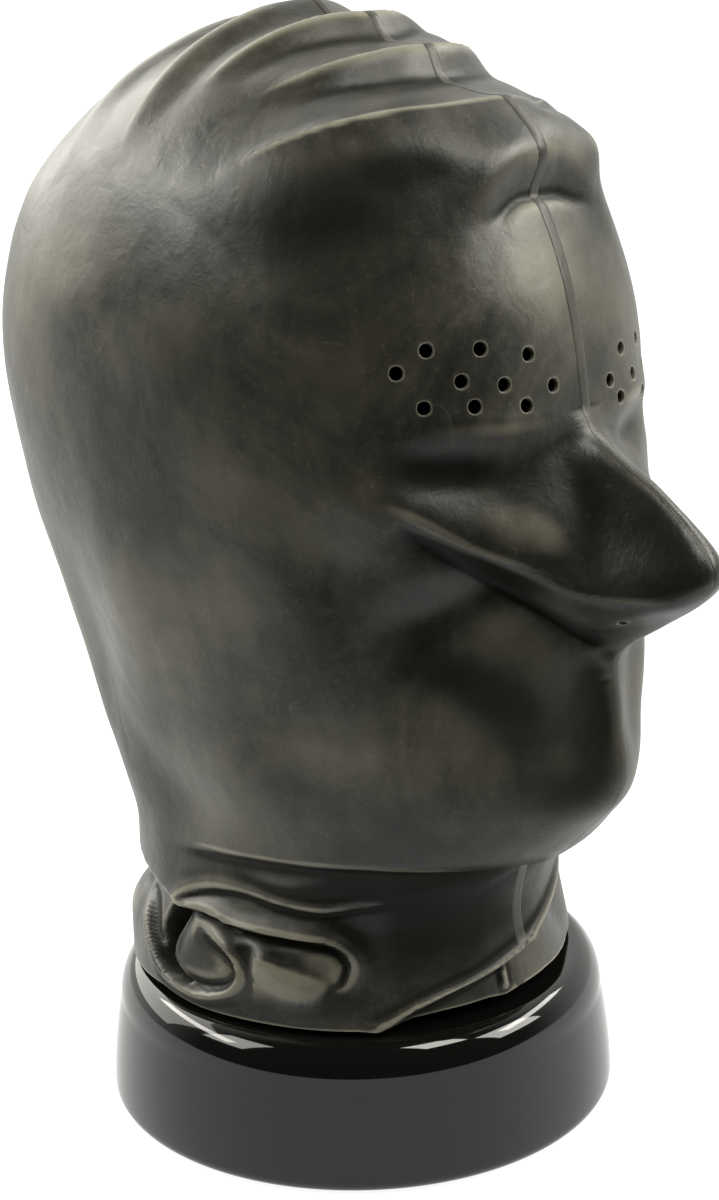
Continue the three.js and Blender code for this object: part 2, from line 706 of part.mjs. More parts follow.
// The strip lies on both panels: up the front, over the crown and down the back
function stripSolid(right, left) {
  const rows = rowStations.length;
  const stations = [];
  const add = (column, step, row) => {
    const k = row * (PANEL_COLUMNS + 1) + column;
    const middle = new THREE.Vector3(0, left.outer[k][1], left.outer[k][2]);
    stations.push([
      stripEdge(right, column, step, row),
      { point: middle, normal: new THREE.Vector3(...left.normals[k]) },
      stripEdge(left, column, step, row),
    ]);
  };
  for (let row = 0; row < rows; row += 1) {
    add(0, 1, row);
  }
  const [, y, z] = left.outer[left.outer.length - 1];
  stations.push([-0.5, 0, 0.5].map((share) => (
    { point: new THREE.Vector3(share * SEAM_WIDTH, y, z), normal: new THREE.Vector3(0, 0, 1) }
  )));
  for (let row = rows - 1; row >= 0; row -= 1) {
    add(PANEL_COLUMNS, -1, row);
  }
  const points = [];
  for (const station of stations) {
    for (const lift of [SEAM_GLUE, SEAM_GLUE + SEAM_THICKNESS]) {
      for (const { point, normal } of station) {
        points.push(point.clone().addScaledVector(normal, lift).toArray());
      }
    }
  }
  // each station: three points below and three above, taken around the section
  const around = [0, 1, 2, 5, 4, 3];
  const triangles = [];
  for (let j = 0; j < stations.length - 1; j += 1) {
    for (let k = 0; k < 6; k += 1) {
      const a = 6 * j + around[k];
      const b = 6 * j + around[(k + 1) % 6];
      triangles.push([a, a + 6, b + 6], [a, b + 6, b]);
    }
  }
  const end = 6 * (stations.length - 1);
  for (const [first, flip] of [[0, false], [end, true]]) {
    for (const t of [[0, 1, 4], [0, 4, 3], [1, 2, 5], [1, 5, 4]]) {
      const face = t.map((k) => first + k);
      triangles.push(flip ? face.reverse() : face);
    }
  }
  return solidFrom(points, triangles);
}

// The display base: a turned solid with a slightly tapering wall and a rounded shoulder
function baseGeometry() {
  const wallTop = BASE_HEIGHT - BASE_SHOULDER_DROP;
  const wallRadius = BASE_RADIUS - BASE_WALL_DRAFT;
  const profile = [new THREE.Vector2(0, 0)];
  for (let i = 0; i <= 3; i += 1) {
    const turn = (Math.PI / 2) * (i / 3);
    profile.push(new THREE.Vector2(
      BASE_RADIUS - BASE_FOOT_ROUND * (1 - Math.sin(turn)),
      BASE_FOOT_ROUND * (1 - Math.cos(turn)),
    ));
  }
  for (let i = 1; i <= 2; i += 1) {
    const u = i / 3;
    profile.push(new THREE.Vector2(
      BASE_RADIUS - BASE_WALL_DRAFT * u ** 1.6,
      BASE_FOOT_ROUND + (wallTop - BASE_FOOT_ROUND) * u,
    ));
  }
  for (let i = 0; i <= 5; i += 1) {
    const turn = (Math.PI / 2) * (i / 5);
    profile.push(new THREE.Vector2(
      wallRadius - BASE_SHOULDER_WIDTH * (1 - Math.cos(turn)),
      wallTop + BASE_SHOULDER_DROP * Math.sin(turn),
    ));
  }
  profile.push(new THREE.Vector2(0, BASE_HEIGHT));
  const geometry = new THREE.LatheGeometry(profile, BASE_FACETS);
  // the lathe turns about Y
  geometry.rotateX(Math.PI / 2);
  return geometry;
}

const right = panelPoints(-1);
const left = panelPoints(1);

const latex = () => new THREE.MeshStandardMaterial({ color: 0x22211f, roughness: 0.45, metalness: 0 });
const tape = () => new THREE.MeshStandardMaterial({ color: 0x2b2926, roughness: 0.5, metalness: 0 });
const gloss = () => new THREE.MeshStandardMaterial({ color: 0x060606, roughness: 0.08, metalness: 0 });

const root = new THREE.Group();
const add = (name, geometry, material) => {
  const mesh = new THREE.Mesh(geometry, material);
  mesh.name = name;
  root.add(mesh);
};

add("hood_panel_right", geometryOf(withHoles(panelSolid(-1, right), -1)), latex());
add("hood_panel_left", geometryOf(withHoles(panelSolid(1, left), 1)), latex());
add("hood_seam_strip", geometryOf(stripSolid(right, left)), tape());
add("display_base", baseGeometry(), gloss());

export default root;
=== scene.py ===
import math

import bmesh
import bpy
import numpy as np
from mathutils import Matrix, Vector, noise
from mathutils.bvhtree import BVHTree


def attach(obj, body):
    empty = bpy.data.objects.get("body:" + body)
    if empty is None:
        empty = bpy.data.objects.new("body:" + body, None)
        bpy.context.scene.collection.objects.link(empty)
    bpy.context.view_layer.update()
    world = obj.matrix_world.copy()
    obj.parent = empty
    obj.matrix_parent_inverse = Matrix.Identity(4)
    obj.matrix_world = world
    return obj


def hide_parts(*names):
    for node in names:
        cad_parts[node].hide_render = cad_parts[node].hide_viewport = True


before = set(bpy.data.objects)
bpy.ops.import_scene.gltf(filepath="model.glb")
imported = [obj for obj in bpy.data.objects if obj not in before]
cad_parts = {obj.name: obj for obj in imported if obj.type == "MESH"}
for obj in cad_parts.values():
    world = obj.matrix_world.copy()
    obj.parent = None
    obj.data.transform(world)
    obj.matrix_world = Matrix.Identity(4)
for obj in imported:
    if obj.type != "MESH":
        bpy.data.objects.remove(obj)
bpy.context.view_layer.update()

# A latex hood on a round gloss base. Lengths in the tables are millimetres, azimuths are degrees:
# 0 looks to the front (-Y), positive turns to the wearer's left (+X).

MM = 0.001
WALL = 1.5

# The seam strip: the gap that it covers, its width and the rise of its middle, how deep its feathered
# edges and its underside lie in the sheet, and how far outside the skin its rays start
SEAM_GAP = 0.3
SEAM_WIDTH = 4.0
SEAM_LIFT = 0.3
SEAM_SINK = 0.03
SEAM_UNDER = 0.35
SEAM_START = 6

# Holes: diameters, the width of the soft rim, and half the block of grid cells that a hole takes
EYE_HOLE = 3.7
NOSTRIL_HOLE = 2.6
RIM_WIDTH = 0.3
EYE_BLOCK = 3
NOSTRIL_BLOCK = 2

# Wear on the hem, painted highlight on the rims and beside a rim; the curvature, per millimetre, of a
# sharp fold, where painted highlight on crests and painted shade in creases reach full strength
RUBBED_AND_RIM_HIGHLIGHT = 0.8
NEAR_RIM_HIGHLIGHT = 0.2
SHARP_BEND = 0.28

# Faces that meet at more degrees than this are shaded with a hard edge
PANEL_EDGE_ANGLE = 62
STRIP_EDGE_ANGLE = 55

# height, front y, back y, half width, squareness of the front and of the back
SECTIONS = np.array([
    [44.3, -68, 73, 66, 2, 2],
    [58.3, -65, 71, 63, 2, 2],
    [74.3, -63, 68.5, 60, 2, 2],
    [86.3, -67, 72, 59.5, 2, 2],
    [100.2, -85, 80, 61, 1.95, 2.05],
    [116.2, -97, 86, 64, 1.78, 2.1],
    [138.2, -100, 92, 67, 1.7, 2.15],
    [158.2, -98, 96.5, 71, 1.74, 2.2],
    [178.2, -94, 101, 74.5, 1.88, 2.2],
    [198.1, -91, 105.5, 77, 2.1, 2.2],
    [218.1, -88, 109.5, 78.5, 2.2, 2.2],
    [238.1, -86, 110.5, 78.5, 2.25, 2.2],
    [258.1, -81.5, 107, 76, 2.2, 2.2],
    [277.1, -73, 98, 70, 2.15, 2.2],
    [293, -60, 84, 60.5, 2.1, 2.15],
    [307, -42, 65, 47, 2.05, 2.1],
    [317.5, -22, 42, 31, 2, 2],
    [323, -5, 22, 15.5, 2, 2],
    [325, 8, 8, 0, 2, 2],
])

# Where the crown's rows of the grid begin, and the y of the crown's point
CROWN_FOOT = 256
CROWN_TIP = 8

# Millimetres of skin per degree of azimuth, for drawn folds on the neck and for dents on the head
AROUND = 1.12
DEGREE_LENGTH = 1.3

# The nose in profile: height, how far the ridge stands out
NOSE = np.array([
    [150, 0], [154.5, 0.8], [158, 3.2], [161, 8.5], [164.5, 18], [168.5, 28.8], [173, 35.8], [178, 37.8],
    [184, 36.8], [190, 32.8], [196.5, 26.8], [202.5, 20.2], [208.5, 12], [216, 4], [224, 0],
])

# The sheet stretched from the nose to the cheeks
FACE_RADIUS = 86.0
SHEET_REACH = 25.0
SHEET_FOOT = 168.5
SHEET_RISE = 40.0
SHEET_TOP = 219.0
SHEET_SPAN = 47.0
RIDGE_BLUNT = math.radians(3)

# The middle that the crown's folds turn round, and the crest and rise of the forehead's broad roll
CROWN_HEIGHT = 245
CROWN_BACK = 12
ROLL_CREST = 38.3
ROLL_RISE = 9.8

# Folds across the crown: crest angle, sweep at the side, its power, span right, span left,
# rise, width behind, width before, dip before
ROLLS = [
    (57.6, 20, 2.0, 46, 44, 5.0, 6.5, 6.0, 0.30),
    (73, 19, 1.3, 46, 40, 4.6, 6.0, 5.5, 0.25),
    (88, 17, 1.1, 64, 52, 4.6, 7.5, 6.5, 0.25),
    (101, 32, 1.2, 62, 50, 3.4, 8.0, 6.5, 0.25),
]

# The height below which the sharp folds lie, and how far off a drawn fold or a pocket is felt
FOLDS_END = 226
FELT_AT_MOST = 60
POCKET_MARGIN = 4

# Sharp folds: start, middle and end (azimuth, height), rise, soft width, steep width, drop,
# its reach, fade at the ends, 2 if on both sides. Soft on the left hand of the way along.
LIPS = [
    ((6, 172.5), (18, 184), (30, 197), 1.6, 8, 3, 2.6, 10, 0.25, 1),
    ((-146, 79), (-118, 76), (-94, 71), 2, 9, 2.4, 6, 10, 0.2, 1),
    ((-108, 91), (-45, 98), (20, 88), 1, 8, 3, 2.4, 6.5, 0.2, 2),
    ((52, 62), (95, 66), (140, 60), 2.4, 7, 3, 2.6, 9, 0.3, 1),
]

# Folds drawn along a line of points (azimuth, height): the line, rise, soft width, steep width,
# drop, its reach, fade at the start and at the end. Soft on the left hand of the way along.
FOLDS = [
    ([(-46, 207), (-40, 203), (-36.3, 199.6), (-29.7, 193.4), (-21.3, 187.2), (-15.3, 182.6),
      (-11.1, 178.6), (-5.6, 172.8), (-1, 169)], 0.7, 9, 4.0, 3.0, 10, 0.25, 0.2),
    ([(-107, 71.5), (-99, 73.2), (-90.5, 74.3), (-82, 72.9), (-73, 72.4), (-63, 72.1), (-55.3, 71.4),
      (-51.2, 69.0), (-49, 65.2), (-49.3, 61), (-51, 57.6), (-54.5, 55)],
     3.2, 3.4, 1.7, 6.0, 3.0, 0.16, 0.32),
    ([(-105, 73.5), (-100, 77), (-94, 80.3), (-86.2, 82.9), (-77.7, 83.3), (-67.7, 81.5), (-57.9, 81),
      (-48.8, 83), (-38, 84.5)], 1.3, 3.0, 1.6, 1.6, 3.5, 0.15, 0.3),
    ([(-95, 70.8), (-89.7, 67.6), (-83.6, 64.8), (-79.6, 60.9), (-79, 56), (-82, 51.4), (-89, 48.6),
      (-98, 48.2), (-106.6, 50.4), (-113.5, 56), (-120, 61.5), (-127, 65), (-134, 65)],
     2.6, 2.8, 1.7, 3.0, 3.6, 0.18, 0.2),
    ([(-78, 63), (-73, 63), (-68, 60), (-62, 57.2), (-54, 56)],
     2.6, 3.4, 6, 0, 1, 0.2, 0.35),
    ([(-47, 43.2), (-43, 45), (-36.9, 47.2), (-29, 49.9), (-18.2, 53.8), (-5.6, 58.8), (7, 63.8),
      (18.5, 69.6), (28, 75.5), (36, 80.5)], 1.3, 2.4, 2.0, 4.3, 60, 0.07, 0.18),
    ([(-6.4, 45.5), (-5.9, 52), (-5.2, 58)], 1.3, 1, 2.2, 0.6, 4, 0.1, 0.15),
    ([(-4.5, 58), (2, 60.9), (9, 62.4), (15.5, 61.8)], 0.5, 1.2, 0.8, 2.8, 2.6, 0.15, 0.15),
]

# Pockets: the outline (azimuth, height), depth, width of the wall
POCKETS = [
    ([(-112.5, 70.5), (-104.5, 71.5), (-103.4, 66), (-103.6, 60), (-102.6, 54.5), (-98.5, 50.6),
      (-95, 49.6), (-102, 50.8), (-107.5, 55), (-111, 62)], -8.5, 2.9),
]

# Soft hollows and swellings: azimuth, height, half width (degrees), half height, depth, tilt,
# 2 if on both sides
DENTS = [
    (-30, 211, 12, 8.5, -4.4, -4, 1),
    (18, 213, 8, 6.5, -3, 4, 1),
    (-20, 222.5, 15, 4.6, 1.3, 0, 2),
    (-42, 203, 9, 9, 1.8, -30, 2),
    (-30, 176, 17, 8, -4.2, 24, 2),
    (-55, 190, 9, 16, -2.2, 24, 2),
    (-45, 160, 9, 17, -2.4, -24, 2),
    (-11, 143, 8, 17, -2.4, 0, 2),
    (-34, 145, 11, 20, -2, 0, 2),
    (-24, 152, 8, 15, 1.4, -20, 2),
    (0, 120, 16, 12, 3, 0, 1),
    (-68, 90, 9, 5, 1.6, 0, 1),
    (-100, 170, 11, 30, 2.8, -18, 2),
    (-82, 122, 12, 20, 2.4, -28, 2),
    (-121, 150, 12, 34, -3.8, -14, 2),
    (-102, 106, 14, 13, -2.5, -24, 2),
    (-150, 57, 18, 9, 2.8, 0, 2),
    (24, 284.5, 9, 5, 3, 0, 1),
    (20, 297, 12, 3.5, -3.6, 0, 1),
    (50, 317, 22, 3, 2.2, 0, 1),
    (-142, 65, 14, 4.5, -3.5, 0, 1),
]

# Painted shade: recesses and shaded places, darker with less dust and less reflection: azimuth, height,
# half width, half height, share, tilt
PAINTED_SHADE_SPOTS = [
    (-38, 89, 55, 6, 1.0, 0),
    (-25, 184.5, 17, 5, 0.9, -26),
    (-30, 211, 12, 8, 0.7, 0),
    (-40, 158, 12, 12, 0.7, -24),
    (-4, 192, 4, 16, 0.6, 0),
    (-75, 236, 26, 26, 0.45, 0),
    (-50, 278, 24, 13, 0.85, 8),
    (-24, 143, 12, 17, 0.8, 0),
    (-16, 119, 17, 9, 0.7, 0),
    (-8, 140, 8, 20, 0.85, 0),
    (-22, 74, 30, 15, 0.9, 0),
    (-30, 290, 14, 5, 0.7, 0),
    (-130, 112, 20, 24, 0.75, 0),
    (-105, 61, 6, 11, 1.3, 0),
    (-70, 67, 16, 2.6, 0.9, 6),
]

# Pools of painted light: places made lighter with the rubbed colour, with the same columns
PAINTED_LIGHT_SPOTS = [
    (-19, 198, 14, 6.5, 0.52, -35),
    (-66, 59, 14, 6, 1.1, 8),
    (-112, 258, 20, 30, 0.46, 0),
    (-6, 262, 13, 17, 0.5, 0),
    (-96, 166, 12, 30, 0.4, -20),
    (-88, 266, 12, 14, 0.3, 0),
    (-73, 174, 13, 20, 0.36, 0),
    (-100, 73, 10, 4, 0.3, 0),
    (-64, 131, 18, 12, 0.32, 0),
]

# The hem: its lowest height, the height where its wave ends, and the wave (azimuth, height)
HEM_LOW = 44
HEM_WAVE_END = 64
HEM = np.array([
    (-180, 44.6), (-150, 44), (-128, 44.2), (-117, 45), (-105, 46.2), (-90, 45.2), (-70, 45.6),
    (-48, 45.6), (-44, 45.2), (-40, 46.2), (-34, 48), (-26, 48.8), (-12, 49.2), (-6, 48.4),
    (0, 49.2), (12, 49.6), (26, 48.6), (45, 46.5), (80, 44.6), (130, 44.4), (180, 44.6),
])

# Holes: azimuth, height
EYE_HOLES = [
    (-32.8, 244.4), (-22.2, 243.8), (-12, 240.9), (-38.8, 239), (-26.6, 236), (-18, 234),
    (-7, 231.8), (-34.2, 229.7), (-24.4, 229.2), (-13.6, 227.8),
    (22.8, 236.9), (12.4, 236.6), (34, 235), (41, 229.5), (29, 228), (17.5, 228.4),
    (7.4, 229.2), (35, 221.5), (23.5, 222), (10.5, 223.8),
]
NOSTRIL_HOLES = [(-6.8, 167.5), (6.8, 167.5)]

# The base: its radius and height, and the sizes of its profile
BASE_RADIUS = 77.7
BASE_HEIGHT = 44.0
BASE_MIDDLE = 4
FOOT_ROUND = 4.0
WALL_DRAFT = 3.2
SHOULDER_DROP = 12.0
SHOULDER_WIDTH = 8.0

# Colours: clean, dusty and rubbed; on the latex the rubbed colour is also its painted highlight and
# painted light
LATEX_BLACK = (0.009, 0.0087, 0.007, 1)
LATEX_DUSTY = (0.074, 0.071, 0.0525, 1)
LATEX_WORN_AND_HIGHLIGHT = (0.22, 0.211, 0.16, 1)
TAPE_BLACK = (0.013, 0.0126, 0.01, 1)
TAPE_DUSTY = (0.06, 0.058, 0.0436, 1)
TAPE_WORN = (0.22, 0.21, 0.16, 1)
GLOSS_BLACK = (0.0035, 0.0034, 0.003, 1)

# Scales of the sheet's patterns, per metre, and the depths of its grain and waves in metres
CLOUD_SCALE = 14
STREAK_STRETCH = (60, 60, 34)
SPECK_SCALE = 620
GRAIN_SCALE = 1400
GRAIN_DEPTH = 0.00012
WAVE_SCALE = 130
WAVE_DEPTH = 0.0006

# Scratches: scale, stretch and turn of the noise; then their width in its value, and their strength
SCRATCHES = [
    (46, (1, 1, 0.35), (0.4, 0.2, 0.7)),
    (30, (0.4, 1, 1), (0.9, 0.5, 0.1)),
]
SCRATCH_WIDTH = 0.0034
SCRATCH_SHARE = 0.26

# Sockets of the node that mixes two colours
MIX_SHARE = 0
MIX_A = 6
MIX_B = 7
MIX_RESULT = 2

# The camera, in metres and radians, and its lens in the photograph's pixels
CAMERA_TURN = math.radians(47)
CAMERA_PITCH = math.radians(16.35)
CAMERA_ROLL = -0.027
CAMERA_AWAY = 0.7
CAMERA_HEIGHT = 0.36
SENSOR = 36
PHOTO_HEIGHT = 1200
FOCAL_PIXELS = 2445
SHIFT_PIXELS = 9

# The floor, in metres: how far in front of the middle it ends, and how far it reaches elsewhere
FLOOR_NEAR = 0.31
FLOOR_REACH = 12
FLOOR_GREY = (0.15, 0.15, 0.15, 1)
FLOOR_GLOW = 0.92

# Softboxes: azimuth, elevation, distance in metres, size in metres, power in watts
LIGHTS = [
    ("left_back", -176, 28, 1.8, (2.1, 1.4), 34),
    ("left_strip", -150, 36, 1.5, (1.6, 0.2), 13),
    ("left_side", -118, 36, 1.5, (0.6, 0.7), 10),
    ("front_top", 2, 54, 1.5, (0.5, 0.5), 11),
    ("right_front", 34, 30, 1.5, (0.7, 0.6), 15),
    ("right_strip", 60, 36, 1.5, (1.4, 0.2), 12),
    ("top_back", 110, 62, 1.4, (0.9, 0.6), 2),
]
LIGHT_AIM = (0, 0, 0.2)
LIGHT_TINT = (1, 0.985, 0.9)

# The room: where its pale backdrop lies, its darkest and palest strength, and its tint
PALE_AZIMUTH = 133
PALE_ELEVATION = -6
ROOM_DARK = 0.04
ROOM_PALE = 1.08
ROOM_TINT = (1, 0.995, 0.96, 1)


def ramp(low, high, value):
    share = np.clip((value - low) / (high - low), 0, 1)
    return share * share * (3 - 2 * share)


def read_table(stations, rows, value):
    """Cubic through a table's rows."""
    slopes = np.zeros_like(rows)
    gaps = stations[2:] - stations[:-2]
    slopes[1:-1] = (rows[2:] - rows[:-2]) / gaps[(...,) + (None,) * (rows.ndim - 1)]
    slopes[0] = (rows[1] - rows[0]) / (stations[1] - stations[0])
    slopes[-1] = (rows[-1] - rows[-2]) / (stations[-1] - stations[-2])
    i = np.clip(np.searchsorted(stations, value, side="right") - 1, 0, len(stations) - 2)
    step = stations[i + 1] - stations[i]
    u = (value - stations[i]) / step
    wide = (...,) + (None,) * (rows.ndim - 1)
    u = u[wide]
    step = step[wide]
    return ((1 + 2 * u) * (1 - u) ** 2 * rows[i] + u * (1 - u) ** 2 * step * slopes[i]
            + u * u * (3 - 2 * u) * rows[i + 1] + u * u * (u - 1) * step * slopes[i + 1])


def section_stations():
    """How far up the form each section lies, from 0 at the hem to 1 at the crown."""
    deep = np.diff((SECTIONS[:, 1] - SECTIONS[:, 2]) / 2)
    run = np.sqrt(np.diff(SECTIONS[:, 0]) ** 2 + 0.5 * deep ** 2
                  + 0.5 * np.diff(SECTIONS[:, 3]) ** 2)
    total = np.r_[0, np.cumsum(run)]
    return total / total[-1]


STATIONS = section_stations()


def head_form(azimuth, up):
    """The smooth form under the folds."""
    z, front, back, half, square_front, square_back = np.moveaxis(
        read_table(STATIONS, SECTIONS, up), -1, 0)
    c = np.cos(azimuth)
    s = np.sin(azimuth)
    turn = 0.5 * (1 + np.tanh(2.5 * c) / np.tanh(2.5))
    power = 2 / (square_back + (square_front - square_back) * turn)
    x = half * np.sign(s) * np.abs(s) ** power
    y = (front + back) / 2 - (back - front) / 2 * np.sign(c) * np.abs(c) ** power
    return np.stack([x, y, z], -1)


def normal_of(surface, azimuth, up, turn=0.001, climb=0.001):
    a = surface(azimuth + turn, up) - surface(azimuth - turn, up)
    b = surface(azimuth, np.minimum(up + climb, 1)) - surface(azimuth, np.maximum(up - climb, 0))
    n = np.cross(a, b)
    n = n / np.maximum(np.linalg.norm(n, axis=-1, keepdims=True), 1e-9)
    return np.where((up > 0.997)[..., None], [0, 0, 1.0], n)


def sheet_depth(turn, z):
    """How far the stretched sheet stands out at one turn from the midline."""
    share = turn / math.radians(SHEET_SPAN)
    foot = SHEET_FOOT + SHEET_RISE * share
    above = (1 - np.clip((z - foot) / (SHEET_TOP - foot), 0, 1)) ** 1.25
    under = 6.5 + 5 * np.clip(share, 0, 1)
    below = np.exp(-(np.clip(foot - z, 0, None) / under) ** 2.2)
    return SHEET_REACH * np.where(z > foot, above, below)


def nose_depth(azimuth, x, z):
    """The nose's blade and the sheet on both sides of it."""
    inside = (z > NOSE[0, 0]) & (z < NOSE[-1, 0])
    height = np.clip(z, NOSE[0, 0], NOSE[-1, 0])
    ridge = np.where(inside, np.clip(read_table(NOSE[:, 0], NOSE[:, 1], height), 0, None), 0)
    turn = np.sqrt(azimuth ** 2 + RIDGE_BLUNT ** 2) - RIDGE_BLUNT
    depth = sheet_depth(turn, z)
    tangent = np.arccos(FACE_RADIUS / (FACE_RADIUS + depth + 1e-9))
    sheet = FACE_RADIUS * (1 / np.cos(np.clip(tangent - turn, 0, None)) - 1)
    middle = sheet_depth(np.zeros_like(turn), z)
    eased = np.minimum(sheet, ridge + (sheet - ridge) * ramp(0, 0.14, np.abs(azimuth)))
    sheet = np.where(ridge < middle, eased, sheet)
    width = 7 + 2.5 * ramp(205, 180, z)
    blade = np.clip(ridge - middle, 0, None) * np.exp(-(np.abs(x) / width) ** 2.3)
    return np.where(np.cos(azimuth) < 0, 0, sheet + blade)


def crown_depth(p):
    """The folds across the crown, and the broad roll over the forehead."""
    x, y, z = p[..., 0], p[..., 1], p[..., 2]
    angle = np.degrees(np.arctan2(z - CROWN_HEIGHT, CROWN_BACK - y))
    radius = np.hypot(z - CROWN_HEIGHT, y - CROWN_BACK)
    side = np.abs(x)
    out = np.zeros_like(x)
    for crest, sweep, power, right, left, rise, behind, before, dip in ROLLS:
        span = np.where(x < 0, right, left)
        q = np.radians(crest + sweep * (side / 60) ** power - angle) * radius
        size = rise * np.clip(1 - (side / span) ** 2, 0, None)
        back = np.exp(-np.abs(q) / behind)
        front = (np.exp(-(np.clip(q, 0, None) / before) ** 2)
                 - dip * np.exp(-((q - 1.7 * before) / (0.7 * before)) ** 2))
        out = out + size * np.where(q < 0, back, front)
    q = np.radians(ROLL_CREST + 17 * (side / 60) ** 2.2 - angle) * radius
    size = ROLL_RISE * np.clip(1 - (side / np.where(x < 0, 68, 50)) ** 2, 0, None)
    k = ramp(6, 34, side)
    width = 21.5 + 11 * k + 2 * (side / 20) ** 2 * (1 - k)
    back = np.exp(-np.abs(q) / 8.5)
    front = np.exp(-(np.clip(q, 0, None) / width) ** (9 - 6.6 * k))
    crease = -1.6 * (1 - k) * np.exp(-((q - width - 2) / 3.2) ** 2)
    return out + size * np.where(q < 0, back, front) + np.where(q > 0, crease, 0)


def nearest_piece(places, line):
    """Signed distance to a line, positive on its left hand; which piece is nearest, and where on it."""
    best = np.full(places.shape[:-1], 1e9)
    piece = np.zeros(places.shape[:-1], int)
    share_at = np.zeros(places.shape[:-1])
    side = np.ones(places.shape[:-1])
    for i, (start, step) in enumerate(zip(line[:-1], np.diff(line, axis=0))):
        share = np.clip(((places - start) @ step) / (step @ step), 0, 1)
        off = places - (start + share[..., None] * step)
        away = np.hypot(off[..., 0], off[..., 1])
        left_hand = step[0] * off[..., 1] - step[1] * off[..., 0] >= 0
        nearer = away < best
        best = np.where(nearer, away, best)
        piece = np.where(nearer, i, piece)
        share_at = np.where(nearer, share, share_at)
        side = np.where(nearer, np.where(left_hand, 1.0, -1.0), side)
    return best * side, piece, share_at


def near_curve(azimuth, z, start, middle, end, pieces=16):
    """Signed distance to a curve through three points, and the share of the way along."""
    s = np.linspace(0, 1, pieces + 1)[:, None]
    a, m, c = (np.array(p, float) for p in (start, middle, end))
    curve = ((1 - s) * (1 - 2 * s) * a + 4 * s * (1 - s) * m + s * (2 * s - 1) * c) * [AROUND, 1]
    turned = (np.degrees(azimuth) - middle[0] + 180) % 360 - 180 + middle[0]
    away, piece, share = nearest_piece(np.stack([turned * AROUND, z], -1), curve)
    return away, (piece + share) / pieces


def near_line(azimuth, z, line):
    """Signed distance to a drawn line, and the share of the way along."""
    line = line * [AROUND, 1]
    steps = np.diff(line, axis=0)
    lengths = np.hypot(steps[:, 0], steps[:, 1])
    run = np.r_[0, np.cumsum(lengths)]
    away, piece, share = nearest_piece(np.stack([np.degrees(azimuth) * AROUND, z], -1), line)
    return away, (run[piece] + share * lengths[piece]) / lengths.sum()


def drawn(points, steps=5):
    """A smooth line through the points."""
    p = np.array(points, float)
    p = np.vstack([2 * p[0] - p[1], p, 2 * p[-1] - p[-2]])
    out = []
    for i in range(1, len(p) - 2):
        for t in np.arange(steps) / steps:
            out.append(0.5 * (2 * p[i] + (p[i + 1] - p[i - 1]) * t
                              + (2 * p[i - 1] - 5 * p[i] + 4 * p[i + 1] - p[i + 2]) * t ** 2
                              + (3 * p[i] - p[i - 1] - 3 * p[i + 1] + p[i + 2]) * t ** 3))
    return np.array(out + [p[-2]])


def fold_profile(away, along, rise, soft, steep, drop, reach, fade_in, fade_out):
    """A crest, soft on the left hand and with a steep drop on the right, faded at its ends."""
    behind = np.minimum(away, 0)
    edge = np.exp(-(behind / steep) ** 2)
    low = rise * edge - drop * (1 - edge) * np.exp(-(behind / reach) ** 2)
    high = rise * np.exp(-(away / soft) ** 2)
    return np.where(away >= 0, high, low) * ramp(0, fade_in, along) * ramp(1, 1 - fade_out, along)


def lip_depth(azimuth, z, row):
    start, middle, end, *profile, fade, _ = row
    return fold_profile(*near_curve(azimuth, z, start, middle, end), *profile, fade, fade)


def fold_depth(azimuth, z, row):
    points, *profile = row
    return fold_profile(*near_line(azimuth, z, drawn(points)), *profile)


def pocket_depth(azimuth, z, row):
    points, depth, wall = row
    line = drawn(points + points[:1], 3)
    away, _ = near_line(azimuth, z, line)
    a = np.degrees(azimuth)
    inside = np.zeros(z.shape, bool)
    for (x0, z0), (x1, z1) in zip(line[:-1], line[1:]):
        crosses = (z0 > z) != (z1 > z)
        if z1 != z0:
            inside ^= crosses & (a < (x1 - x0) * (z - z0) / (z1 - z0) + x0)
    within = np.where(inside, np.abs(away), -np.abs(away))
    return depth * ramp(-0.4 * wall, wall, within)


def feels(points, azimuth, z, margin):
    """Which places lie close enough to a drawn line to feel it."""
    p = np.array(points)
    a = np.degrees(azimuth)
    return ((a > p[:, 0].min() - margin) & (a < p[:, 0].max() + margin)
            & (z > p[:, 1].min() - margin) & (z < p[:, 1].max() + margin))


def dent_depth(azimuth, z, row):
    """A soft hollow or swelling from the first six columns of a table's row."""
    azimuth0, height, wide, tall, depth, tilt = row[:6]
    u = ((np.degrees(azimuth) - azimuth0 + 180) % 360 - 180) * DEGREE_LENGTH
    v = z - height
    c = math.cos(math.radians(tilt))
    s = math.sin(math.radians(tilt))
    return depth * np.exp(-((u * c + v * s) / (wide * DEGREE_LENGTH)) ** 2 - ((v * c - u * s) / tall) ** 2)


def sides_of(azimuth, row):
    """The azimuths at which a row is read: mirrored too, where its last column says both sides."""
    return (azimuth, -azimuth) if row[-1] == 2 else (azimuth,)


def hem_wave(azimuth):
    """How much higher than the lowest place the hem lies."""
    return np.interp(np.degrees(azimuth), HEM[:, 0], HEM[:, 1]) - HEM_LOW


def ripple(p):
    """Slight unevenness of the soft sheet."""
    out = np.empty(len(p))
    for i, (x, y, z) in enumerate(p):
        slow = noise.noise(Vector((x / 26, y / 26, z / 34)))
        quick = noise.noise(Vector((x / 9 + 7, y / 9, z / 11)))
        out[i] = 0.55 * slow + 0.14 * quick
    return out


